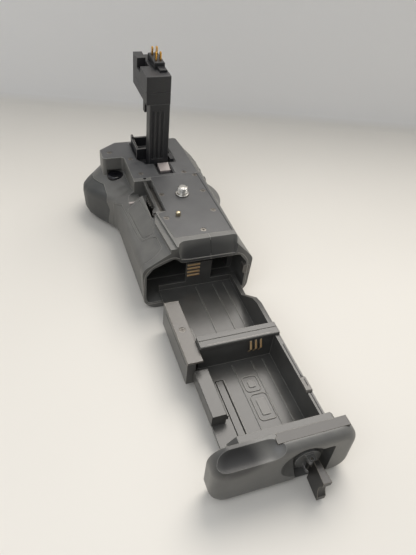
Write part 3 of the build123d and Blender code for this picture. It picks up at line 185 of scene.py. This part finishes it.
def edge_mask(tree, radius):
    """White along edges of about this radius in metres, black on flats."""
    rounded = add_node(tree, "ShaderNodeBevel", {"Radius": radius}, samples=EDGE_SAMPLES)
    true_normal = add_node(tree, "ShaderNodeNewGeometry")
    lean = add_node(tree, "ShaderNodeVectorMath",
                    {0: rounded.outputs["Normal"], 1: true_normal.outputs["Normal"]},
                    operation="DOT_PRODUCT")
    return add_node(tree, "ShaderNodeMapRange",
                    {"Value": lean.outputs["Value"], "From Min": EDGE_STARTS,
                     "From Max": EDGE_FULL}).outputs["Result"]


def give_relief(tree, shader, pattern, height_mm, edge_radius):
    """A pattern as fine relief, over edges that look a little rounded."""
    soft_edges = add_node(tree, "ShaderNodeBevel", {"Radius": edge_radius}, samples=EDGE_SAMPLES)
    bump = add_node(tree, "ShaderNodeBump",
                    {"Height": pattern, "Strength": 1.0, "Distance": height_mm * MM,
                     "Normal": soft_edges.outputs["Normal"]})
    tree.links.new(bump.outputs["Normal"], shader.inputs["Normal"])


def moulded(name, base, dark, edge_highlight, rough, grain_mm, grain_height, edge_radius=0.0004,
            patch_mm=9.0, rough_swing=0.06, metallic=0.0, painted_shade=None):
    """A moulded or painted skin: two near shades in soft patches, a fine grain, and edges lightened as a
    painted highlight.

    A spot of painted shade, if given, is its centre in millimetres, its half sizes there, and its colour.
    """
    material, tree, shader = start_material(name)
    place = add_node(tree, "ShaderNodeTexCoord").outputs["Object"]
    patches = add_node(tree, "ShaderNodeTexNoise",
                       {"Vector": place, "Scale": 1 / (patch_mm * MM), "Detail": 4.0,
                        "Roughness": 0.55}).outputs["Fac"]
    shade = add_node(tree, "ShaderNodeValToRGB", {"Fac": patches},
                     zip(PATCH_RANGE, (linear(dark), linear(base)))).outputs["Color"]
    # Painted shade: a spot that fades to a darker colour, in place of the shade that falls there
    if painted_shade:
        centre, reach, shade_colour = painted_shade
        spot = add_node(tree, "ShaderNodeMapping",
                        {"Vector": place, "Location": Vector(centre) * MM, "Scale": Vector(reach) * MM},
                        vector_type="TEXTURE").outputs["Vector"]
        far = add_node(tree, "ShaderNodeVectorMath", {0: spot}, operation="LENGTH").outputs["Value"]
        inside = add_node(tree, "ShaderNodeMapRange",
                          {"Value": far, "From Min": SPOT_FADED, "From Max": SPOT_FULL},
                          interpolation_type="SMOOTHSTEP").outputs["Result"]
        shade = add_node(tree, "ShaderNodeMix", {"Factor": inside, "A": shade, "B": linear(shade_colour)},
                         data_type="RGBA").outputs["Result"]
    # Painted highlight: edges fade to the paler edge colour, for the light that edges catch
    edges = edge_mask(tree, edge_radius)
    colour = add_node(tree, "ShaderNodeMix", {"Factor": edges, "A": shade, "B": linear(edge_highlight)},
                      data_type="RGBA")
    tree.links.new(colour.outputs["Result"], shader.inputs["Base Color"])
    gloss = add_node(tree, "ShaderNodeMapRange",
                     {"Value": patches, "To Min": rough - rough_swing, "To Max": rough + rough_swing})
    tree.links.new(gloss.outputs["Result"], shader.inputs["Roughness"])
    grain = add_node(tree, "ShaderNodeTexNoise",
                     {"Vector": place, "Scale": 1 / (grain_mm * MM), "Detail": 3.0}).outputs["Fac"]
    give_relief(tree, shader, grain, grain_height, edge_radius)
    shader.inputs["IOR"].default_value = PLASTIC_IOR
    shader.inputs["Metallic"].default_value = metallic
    return material


def metal(name, base, dark, rough, grain_mm, grain_height, stretch=(1, 1, 1), edge_radius=0.00025):
    """A bare or plated metal: a close pair of shades and fine marks."""
    material, tree, shader = start_material(name)
    own = add_node(tree, "ShaderNodeTexCoord").outputs["Object"]
    place = add_node(tree, "ShaderNodeMapping", {"Vector": own, "Scale": stretch}).outputs["Vector"]
    marks = add_node(tree, "ShaderNodeTexNoise",
                     {"Vector": place, "Scale": 1 / (grain_mm * MM), "Detail": 5.0}).outputs["Fac"]
    shade = add_node(tree, "ShaderNodeValToRGB", {"Fac": marks},
                     zip(MARK_RANGE, (linear(dark), linear(base)))).outputs["Color"]
    tree.links.new(shade, shader.inputs["Base Color"])
    gloss = add_node(tree, "ShaderNodeMapRange",
                     {"Value": marks, "To Min": rough - METAL_SMOOTHER, "To Max": rough + METAL_ROUGHER})
    tree.links.new(gloss.outputs["Result"], shader.inputs["Roughness"])
    give_relief(tree, shader, marks, grain_height, edge_radius)
    shader.inputs["Metallic"].default_value = 1.0
    return material


# Polycarbonate blend of the housing, from a spark eroded mould: satin, with a fine even grain.
# The shaded spot is painted at the chin, which is dark in the photograph; the cause isn't known.
housing_abs = moulded("satin_moulded_polycarbonate", "#676662", "#5e5d5a", "#a3a19a", 0.40, 0.35, 0.02,
                      painted_shade=((-50.0, -1.0, -8.0), (10.0, 25.0, 9.5), "#3c3c3b"))
# The door's cap: the same plastic. Its shaded spot is painted in the finger scoop in the same way.
cap_abs = moulded("satin_polycarbonate_cap", "#686763", "#5f5e5b", "#8f8d87", 0.38, 0.35, 0.02,
                  painted_shade=((-173.0, 27.0, -16.5), (14.0, 13.0, 8.5), "#262524"))
# Paler stand-in for the light that edges catch, for lines laid along them
pale_edge = moulded("pale_edge_polycarbonate", "#8e8b85", "#827f79", "#a8a49c", 0.34, 0.3, 0.01)
# Soft elastomer covering, finely pebbled: duller than the shell
rubber = moulded("pebbled_elastomer", "#676662", "#5d5c59", "#7d7b76", 0.55, 0.6, 0.06)
# The hand grip's elastomer: smoother than the flank's, and darker as a painted shade of its side turned
# away from the light
grip_skin = moulded("smooth_elastomer_painted_shade", "#454644", "#3c3d3c", "#5a5955", 0.48, 0.6, 0.03)
# Powder painted steel sheet of the seating plate: even, a little grainy
plate_paint = moulded("powder_painted_steel_sheet", "#525252", "#4b4b4b", "#a09c95", 0.36, 0.3, 0.015,
                      edge_radius=0.0003, patch_mm=14)
# Far plate: nearly the same shade, moulded in plastic and a little duller
far_plate_abs = moulded("satin_moulded_abs_plate", "#555555", "#4e4e4e", "#8d8c89", 0.42, 0.3, 0.015)
# Glass filled nylon of the post: near black and dry, with corners painted paler as a highlight
post_nylon = moulded("black_glass_filled_nylon", "#2a2a2b", "#222224", "#6b6a67", 0.42, 0.25, 0.012,
                     edge_radius=0.0003)
# The pocket's nylon: its edges are painted pale, a painted highlight in place of the thin lit rim round its
# mouth
pocket_nylon = moulded("black_nylon_with_highlit_mouth", "#262627", "#1f1f21", "#bdb9b1", 0.42, 0.25, 0.012,
                       edge_radius=0.0005)
# Tray: polished mould, so the floor mirrors its surroundings softly
tray_abs = moulded("polished_moulded_abs", "#504f4c", "#484744", "#9a978f", 0.30, 0.5, 0.004,
                   edge_radius=0.0003, rough_swing=0.05)
# The same plastic on small raised features, paler so that they show; on the slit's rib the paleness is a
# painted highlight of a lit edge
raised_abs = moulded("polished_abs_raised", "#5c5a56", "#54524e", "#b4b0a7", 0.30, 0.5, 0.004)
# Cover plate and small tray parts: taupe satin plastic, and a darker one for the door's ledge
trim_abs = moulded("taupe_satin_abs", "#605c56", "#57534e", "#b5afa5", 0.30, 0.3, 0.01)
ledge_abs = moulded("dark_taupe_abs", "#454340", "#3d3b38", "#a09a90", 0.36, 0.3, 0.01)
# Dark dull line in place of a narrow gap, which is too fine to cut
joint_dark = moulded("dark_joint_line", "#191918", "#131312", "#232221", 0.7, 0.3, 0.01)
# Buttons and dial: near black and glossy
control_abs = moulded("gloss_black_abs", "#1c1c20", "#141417", "#2d2d33", 0.12, 0.5, 0.003)
# Tab at the post's foot and bar in the finger bay: pale warm grey plastic; on the bar the pale colour is a
# painted highlight of a lit ledge top
light_abs = moulded("warm_grey_abs", "#a89e99", "#9d948f", "#c0b7b1", 0.4, 0.4, 0.01)
# Lock: near black painted casting for the key, with lit edges, and a greyer one for its rotor
key_metal = moulded("painted_zinc_casting", "#2c2a27", "#24221f", "#8f887c", 0.34, 0.4, 0.02,
                    edge_radius=0.0005)
rotor_metal = moulded("grey_painted_zinc_casting", "#7b7a77", "#6b6a67", "#b3b0aa", 0.30, 0.4, 0.02)
# Wheel guard: dark painted steel with edges painted light as a highlight
guard_paint = moulded("painted_steel_with_highlit_edges", "#3d3c3a", "#343331", "#b0aca3", 0.38, 0.3, 0.01,
                      edge_radius=0.0003)
# Contact springs: only part metallic, unlike the real ones, so that they show in their dark bays
copper = moulded("tinned_copper_alloy", "#f0c890", "#d9a870", "#fff0d0", 0.22, 0.4, 0.003, metallic=0.4)
# Inside, hardly seen: a green laminate board and an amber film cable
board_green = moulded("solder_resist_laminate", "#16472c", "#113a24", "#2a6a45", 0.3, 0.6, 0.004)
ribbon_film = moulded("polyimide_film", "#a0682a", "#8d5a22", "#bb8a4a", 0.3, 0.6, 0.003)
# Metals: greyed screws and wheel, turned steel with lines round it, and plated brass
dark_steel = metal("blackened_steel_screw", "#95908a", "#716d68", 0.30, 0.3, 0.004)
wheel_steel = metal("knurled_blackened_steel", "#6f6c68", "#4f4d4a", 0.36, 0.3, 0.004)
bright_steel = metal("turned_stainless_steel", "#e2dfd9", "#c4c1bb", 0.2, 0.4, 0.004, stretch=(1, 1, 6))
gold = metal("gold_flashed_brass", "#e7b65a", "#bd8738", 0.22, 0.4, 0.003)
pale_brass = metal("polished_nickel_brass", "#dcd0b4", "#c2b08c", 0.22, 0.4, 0.003)

finishes = {
    housing_abs: "front_shell rear_shell end_cover dock_block",
    cap_abs: "door_cap",
    rubber: "side_rubber_panel tongue_panel thumb_rubber foot_pads",
    grip_skin: "grip_rubber",
    plate_paint: "near_top_plate",
    far_plate_abs: "far_top_plate",
    post_nylon: "post_leg post_head_lower post_head_upper post_connector post_base base_loop board_chips",
    pocket_nylon: "storage_pocket",
    tray_abs: "tray_frame crossbar_cap near_latch far_latch",
    trim_abs: "tray_cover rail_clip rim_tab",
    ledge_abs: "door_ledge",
    control_abs: "shutter_button rear_button_1 rear_button_2 rear_button_3 power_switch main_dial",
    light_abs: "base_tab",
    key_metal: "lock_key",
    rotor_metal: "lock_rotor",
    dark_steel: "plate_screws",
    wheel_steel: "thumbwheel tray_screw",
    guard_paint: "wheel_guard",
    bright_steel: "tripod_screw wheel_spindle dial_pin key_pin lock_cam lock_strike",
    gold: "post_blades tripod_bush",
    pale_brass: "guide_pin",
    copper: "near_contacts far_contacts dock_contacts",
    board_green: "circuit_board",
    ribbon_film: "ribbon_cable",
}
for finish, names in finishes.items():
    for name in names.split():
        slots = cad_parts[name].data.materials
        slots.clear()
        slots.append(finish)


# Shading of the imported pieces: round stretches smooth, corners sharp

def make_smoother(sharp_degrees):
    """A node group that welds a piece's faces and shades it smooth, but for corners."""
    group = bpy.data.node_groups.new("smooth_but_for_corners", "GeometryNodeTree")
    for side in ("INPUT", "OUTPUT"):
        group.interface.new_socket("Geometry", in_out=side, socket_type="NodeSocketGeometry")
    given = add_node(group, "NodeGroupInput")
    welded = add_node(group, "GeometryNodeMergeByDistance",
                      {"Geometry": given.outputs["Geometry"], "Distance": WELD})
    angle = add_node(group, "GeometryNodeInputMeshEdgeAngle").outputs["Unsigned Angle"]
    soft = add_node(group, "FunctionNodeCompare", {"A": angle, "B": math.radians(sharp_degrees)},
                    data_type="FLOAT", operation="LESS_THAN")
    edges = add_node(group, "GeometryNodeSetShadeSmooth",
                     {"Geometry": welded.outputs["Geometry"], "Shade Smooth": soft.outputs["Result"]},
                     domain="EDGE")
    faces = add_node(group, "GeometryNodeSetShadeSmooth",
                     {"Geometry": edges.outputs["Geometry"], "Shade Smooth": True}, domain="FACE")
    add_node(group, "NodeGroupOutput", {"Geometry": faces.outputs["Geometry"]})
    return group


smoother = make_smoother(SHARP_ANGLE)
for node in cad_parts.values():
    node.modifiers.new("smoothing", "NODES").node_group = smoother


# New pieces, made in millimetres

def finish_piece(shape, name, finish, body, replaced=None):
    """The shape as a finished piece that rides on a body."""
    bmesh.ops.remove_doubles(shape, verts=shape.verts, dist=0.001)
    bmesh.ops.recalc_face_normals(shape, faces=shape.faces)
    bmesh.ops.scale(shape, vec=(MM, MM, MM), verts=shape.verts)
    mesh = bpy.data.meshes.new(name)
    shape.to_mesh(mesh)
    shape.free()
    mesh.materials.append(finish)
    piece = bpy.data.objects.new(name, mesh)
    scene.collection.objects.link(piece)
    piece.modifiers.new("smoothing", "NODES").node_group = smoother
    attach(piece, body)
    if replaced:
        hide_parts(replaced)


def add_level_face(shape, outline, height, round_by):
    """A level face over an outline, with its corners rounded."""
    corners = [shape.verts.new((x, y, height)) for x, y in outline]
    face = shape.faces.new(corners)
    if round_by:
        rounded = bmesh.ops.bevel(shape, geom=corners, offset=round_by, segments=CORNER_STEPS,
                                  profile=0.5, affect="VERTICES", material=-1)
        touching = [f for f in shape.faces if set(f.verts) & set(rounded["verts"])]
        face = max(touching, key=lambda f: f.calc_area())
    return face


def lift_faces(shape, faces, height):
    """New faces drawn up from these, which stay as the underside."""
    grown = bmesh.ops.extrude_face_region(shape, geom=faces, use_keep_orig=True)["geom"]
    bmesh.ops.translate(shape, verts=[g for g in grown if isinstance(g, bmesh.types.BMVert)],
                        vec=(0, 0, height))
    return [g for g in grown if isinstance(g, bmesh.types.BMFace)]


def rectangle(x0, x1, y0, y1):
    """The corners of an upright rectangle."""
    return [(x0, y0), (x1, y0), (x1, y1), (x0, y1)]


def add_slab(shape, outline, low, high, round_by=0.0, ease=0.0):
    """An upright slab over an outline, with its corners rounded and its top rim eased."""
    top = lift_faces(shape, [add_level_face(shape, outline, low, round_by)], high - low)
    if ease:
        bmesh.ops.bevel(shape, geom=list(top[0].edges), offset=ease, segments=2, profile=0.5,
                        affect="EDGES", material=-1)


def add_frame(shape, outline, low, high, width, round_by):
    """A flat ring of an even width inside an outline."""
    face = add_level_face(shape, outline, low, round_by)
    ring = bmesh.ops.inset_region(shape, faces=[face], use_boundary=True, use_even_offset=True,
                                  thickness=width)["faces"]
    bmesh.ops.delete(shape, geom=[face], context="FACES_ONLY")
    lift_faces(shape, ring, high - low)


def turn_profile(shape, profile):
    """A turned shape about the screw's upright axis, from its radii and heights."""
    line = [shape.verts.new((radius, 0, height)) for radius, height in profile]
    edges = [shape.edges.new(pair) for pair in zip(line, line[1:])]
    bmesh.ops.spin(shape, geom=line + edges, cent=(0, 0, 0), axis=(0, 0, 1), angle=math.tau,
                   steps=TURN_STEPS, use_merge=True)


def round_corners(outline, radius, step):
    """A closed outline with rounded corners, as points about one step apart."""
    points = []
    for before, corner, after in zip(outline[-1:] + outline[:-1], outline, outline[1:] + outline[:1]):
        before, corner, after = Vector(before), Vector(corner), Vector(after)
        reach_in = min(radius, (before - corner).length / CORNER_DIVISOR)
        reach_out = min(radius, (after - corner).length / CORNER_DIVISOR)
        start = corner + (before - corner).normalized() * reach_in
        end = corner + (after - corner).normalized() * reach_out
        if points:
            steps = int((start - points[-1]).length / step)
            for part in range(1, steps):
                points.append(points[-1].lerp(start, 1 / (steps - part + 1)))
        for part in range(CORNER_STEPS + 1):
            share = part / CORNER_STEPS
            points.append(start.lerp(corner, share).lerp(corner.lerp(end, share), share))
    return points


def add_strip(shape, starts, way, width, height, closed=False, reach=22):
    """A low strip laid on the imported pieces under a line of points, seen along a direction."""
    view = bpy.context.evaluated_depsgraph_get()
    spots = []
    for start in starts:
        met, place, normal = scene.ray_cast(view, Vector(start) * MM, Vector(way), distance=reach * MM)[:3]
        if met:
            spots.append((place / MM, normal))
    rows = ([], [])
    last = len(spots) - 1
    for number, (place, normal) in enumerate(spots):
        if closed:
            before, after = number - 1, (number + 1) % len(spots)
        else:
            before, after = max(number - 1, 0), min(number + 1, last)
        side = normal.cross(spots[after][0] - spots[before][0]).normalized() * width / 2
        for row, sign in zip(rows, (-1, 1)):
            row.append(shape.verts.new(place + side * sign + normal * height))
    edges = []
    for row in rows:
        following = row[1:] + row[:1] if closed else row[1:]
        edges.extend(shape.edges.new(pair) for pair in zip(row, following))
    faces = bmesh.ops.bridge_loops(shape, edges=edges)["faces"]
    faces[0].normal_update()
    if faces[0].normal.dot(spots[0][1]) < 0:
        bmesh.ops.reverse_faces(shape, faces=faces)
    bmesh.ops.solidify(shape, geom=faces, thickness=height * STRIP_DEPTH)


def make_threaded_screw():
    """The tripod screw: hub, collar, and a quarter inch thread."""
    shape = bmesh.new()
    turn_profile(shape, [(0, -6.5), (3.3, -6.5), (3.3, -3.4), (4.1, -3.4), (4.1, 0.75), (3.85, 1.0),
                         (2.62, 1.0), (2.62, 4.9), (2.2, 5.4), (1.3, 5.5), (0, 5.5)])
    tooth = [shape.verts.new((radius, 0, height)) for radius, height in
             [(2.5, 1.15), (3.17, 1.55), (3.17, 1.73), (2.5, 2.13)]]
    ridge = shape.faces.new(tooth)
    bmesh.ops.spin(shape, geom=tooth + list(ridge.edges) + [ridge], cent=(0, 0, 0), axis=(0, 0, 1),
                   angle=math.tau * THREAD_TURNS, steps=int(THREAD_STEPS * THREAD_TURNS),
                   dvec=(0, 0, THREAD_PITCH / THREAD_STEPS))
    finish_piece(shape, "threaded_screw", bright_steel, "wheel", "tripod_screw")


def make_guard_frame():
    """The guard beside the thumbwheel: a bar with a three cornered gusset at its near end."""
    shape = bmesh.new()
    add_slab(shape, [(-15.5, 18.4), (19.3, 18.4), (19.3, 20.3), (-9.5, 20.3), (-13.2, 22.7), (-15.5, 22.7)],
             -3.0, -0.4, ease=0.3)
    finish_piece(shape, "guard_frame", guard_paint, "root", "wheel_guard")


def make_floor_marks():
    """Raised rounded outlines, a plain pad in each, moulded on the near bay's floor."""
    shape = bmesh.new()
    floor, top = -37.6, -37.15
    for sides in ((-127.5, -117.6, -6.6, 2.0), (-145.0, -129.0, -7.6, 1.8)):
        add_frame(shape, rectangle(*sides), floor, top, 0.45, 2.2)
    for sides in ((-124.9, -120.2, -4.2, -0.4), (-142.0, -132.0, -5.2, -0.6)):
        add_slab(shape, rectangle(*sides), floor, top, 0.9)
    finish_piece(shape, "floor_marks", raised_abs, "tray")


def make_rim_line():
    """A pale line round the tray's opening, a painted highlight of its lit rim, low enough for the door to
    shut over it.
    """
    outline = [(-27.6, -41.2), (35.9, -41.2), (36.7, -36.0), (36.7, -18.4), (32.6, -12.4), (19.6, -6.6),
               (13.4, -10.9), (-22.0, -10.9), (-27.6, -18.4)]
    shape = bmesh.new()
    add_strip(shape, [(-60, y, z) for y, z in round_corners(outline, 4.0, 2.0)], (1, 0, 0), 0.55,
              RIM_LINE_HEIGHT, closed=True)
    finish_piece(shape, "rim_line", pale_edge, "root")


def make_parting_seams():
    """The fine dark joint between the two half shells, on the near rim."""
    shape = bmesh.new()
    for top, step, count in ((-1.4, 0.9, 10), (-41.9, 0.4, 5)):
        add_strip(shape, [(-60, -3.1, top - step * part) for part in range(count)], (1, 0, 0), 0.4,
                  LINE_HEIGHT)
    finish_piece(shape, "parting_seams", joint_dark, "root")


def make_plate_joint():
    """The dark joint along the rear edge of the near seating plate."""
    shape = bmesh.new()
    add_strip(shape, [(-42 + 4 * part, -17.7 + 0.07 * part, 6) for part in range(17)], (0, 0, -1), 0.5,
              LINE_HEIGHT)
    finish_piece(shape, "plate_joint", joint_dark, "root")


def make_tray_joints():
    """Dark joints on the tray: under the cover plate, and along the rear rail."""
    shape = bmesh.new()
    add_strip(shape, [(-110 + 4 * part, 45, -26.2) for part in range(10)], (0, -1, 0), 0.5, LINE_HEIGHT)
    add_strip(shape, [(-158 + 4 * part, -21.4, -5) for part in range(12)], (0, 0, -1), 0.45, LINE_HEIGHT,
              reach=30)
    finish_piece(shape, "tray_joints", joint_dark, "tray")


def make_crossbar_line():
    """A pale line along the crossbar's near edge, a painted highlight of that lit edge."""
    shape = bmesh.new()
    add_strip(shape, [(-105.8, -18 + 4 * part, -5) for part in range(10)], (0, 0, -1), 0.5, LINE_HEIGHT)
    finish_piece(shape, "crossbar_line", pale_edge, "tray")


def make_slit_rib():
    """A fine upright rib beside the slit of the near bay's floor, pale as a painted highlight of the slit's
    lit edge.
    """
    shape = bmesh.new()
    add_strip(shape, [(-117 - 3.5 * part, 11.0, -27) for part in range(11)], (0, 0, -1), 0.55,
              RIB_HEIGHT)
    finish_piece(shape, "slit_rib", raised_abs, "tray")


def make_foot_bar():
    """A pale bar at the foot of the finger bay's near wall, its paleness a painted highlight of the lit top
    of the ledge there.
    """
    shape = bmesh.new()
    add_slab(shape, rectangle(8.4, 10.2, 23.6, 31.8), -9.75, -8.5, ease=0.3)
    finish_piece(shape, "foot_bar", light_abs, "root")


make_threaded_screw()
make_guard_frame()
make_floor_marks()
make_rim_line()
make_parting_seams()
make_plate_joint()
make_tray_joints()
make_crossbar_line()
make_slit_rib()
make_foot_bar()


# Studio: a pale sweep under and behind the grip, and soft lamps

def make_paper():
    """Pale paper: warm and faintly mottled on the floor, cooler up the wall."""
    paper, tree, shader = start_material("pale_paper")
    place = add_node(tree, "ShaderNodeTexCoord").outputs["Object"]
    height = add_node(tree, "ShaderNodeSeparateXYZ", {"Vector": place}).outputs["Z"]
    rise = add_node(tree, "ShaderNodeMapRange",
                    {"Value": height, "From Min": TABLE_Z + WALL_TONE_FROM,
                     "From Max": TABLE_Z + WALL_TONE_FULL}).outputs["Result"]
    mottle = add_node(tree, "ShaderNodeTexNoise",
                      {"Vector": place, "Scale": MOTTLE_SCALE, "Detail": 2.0}).outputs["Fac"]
    floor = add_node(tree, "ShaderNodeValToRGB", {"Fac": mottle},
                     zip(MOTTLE_RANGE, (linear("#dad6ce"), linear("#e0dcd4")))).outputs["Color"]
    tone = add_node(tree, "ShaderNodeMix", {"Factor": rise, "A": floor, "B": linear("#f0efed")},
                    data_type="RGBA")
    tree.links.new(tone.outputs["Result"], shader.inputs["Base Color"])
    shader.inputs["Roughness"].default_value = PAPER_ROUGHNESS
    shader.inputs["Specular IOR Level"].default_value = PAPER_SPECULAR
    return paper


def make_sweep():
    """Floor and wall in one sheet, with a rounded foot; the foot follows the photograph's line."""
    left, right = Vector(FOOT_LEFT), Vector(FOOT_RIGHT)
    along = (right - left).normalized()
    away = Vector((-along.y, along.x, 0))
    profile = [(-FLOOR_DEPTH, 0.0), (-FOOT_RADIUS, 0.0)]
    for step in range(1, FOOT_STEPS + 1):
        turn = math.pi / 2 * step / FOOT_STEPS
        profile.append((-FOOT_RADIUS + FOOT_RADIUS * math.sin(turn), FOOT_RADIUS * (1 - math.cos(turn))))
    profile.append((0.0, BACKDROP_HEIGHT))
    sweep = bmesh.new()
    line = [sweep.verts.new(left - along * SHEET_LEFT + away * (out + FOOT_RADIUS * FOOT_SHIFT)
                            + Vector((0, 0, up))) for out, up in profile]
    edges = [sweep.edges.new(pair) for pair in zip(line, line[1:])]
    moved = bmesh.ops.extrude_edge_only(sweep, edges=edges)["geom"]
    bmesh.ops.translate(sweep, verts=[g for g in moved if isinstance(g, bmesh.types.BMVert)],
                        vec=along * SHEET_WIDTH)
    bmesh.ops.recalc_face_normals(sweep, faces=sweep.faces)
    mesh = bpy.data.meshes.new("studio_sweep")
    sweep.to_mesh(mesh)
    sweep.free()
    for face in mesh.polygons:
        face.use_smooth = True
    mesh.materials.append(make_paper())
    piece = bpy.data.objects.new("studio_sweep", mesh)
    scene.collection.objects.link(piece)


def add_lamp(name, at, aim, size, power, tint):
    """A round soft lamp that faces a point."""
    data = bpy.data.lights.new(name, "AREA")
    data.shape = "DISK"
    data.size = size
    data.energy = power
    data.color = linear(tint)[:3]
    lamp = bpy.data.objects.new(name, data)
    lamp.location = at
    lamp.rotation_mode = "QUATERNION"
    lamp.rotation_quaternion = (Vector(aim) - Vector(at)).to_track_quat("-Z", "Y")
    scene.collection.objects.link(lamp)


def make_world():
    """Soft air around the table: bright above and behind the grip, dim on the viewer's side."""
    world = bpy.data.worlds.new("studio_air")
    world.use_nodes = True
    tree = world.node_tree
    way = add_node(tree, "ShaderNodeTexCoord").outputs["Generated"]
    facing = add_node(tree, "ShaderNodeVectorMath", {0: way, 1: AIR_FROM}, operation="DOT_PRODUCT")
    level = add_node(tree, "ShaderNodeMapRange",
                     {"Value": facing.outputs["Value"], "From Min": AIR_DIM_AT, "From Max": AIR_BRIGHT_AT,
                      "To Min": AIR_DIM, "To Max": AIR_BRIGHT}, interpolation_type="SMOOTHSTEP")
    background = tree.nodes["Background"]
    background.inputs["Color"].default_value = linear("#eef0f2")
    tree.links.new(level.outputs["Result"], background.inputs["Strength"])
    scene.world = world


make_sweep()
add_lamp("key_lamp", (0.34, -0.36, 0.80), (-0.06, 0, -0.03), 0.75, 7.0, "#fff9f2")
add_lamp("fill_lamp", (-0.5, 0.6, 0.75), (-0.03, 0, -0.02), 0.8, 2.5, "#f2f6ff")
make_world()
scene.view_settings.view_transform = "Standard"
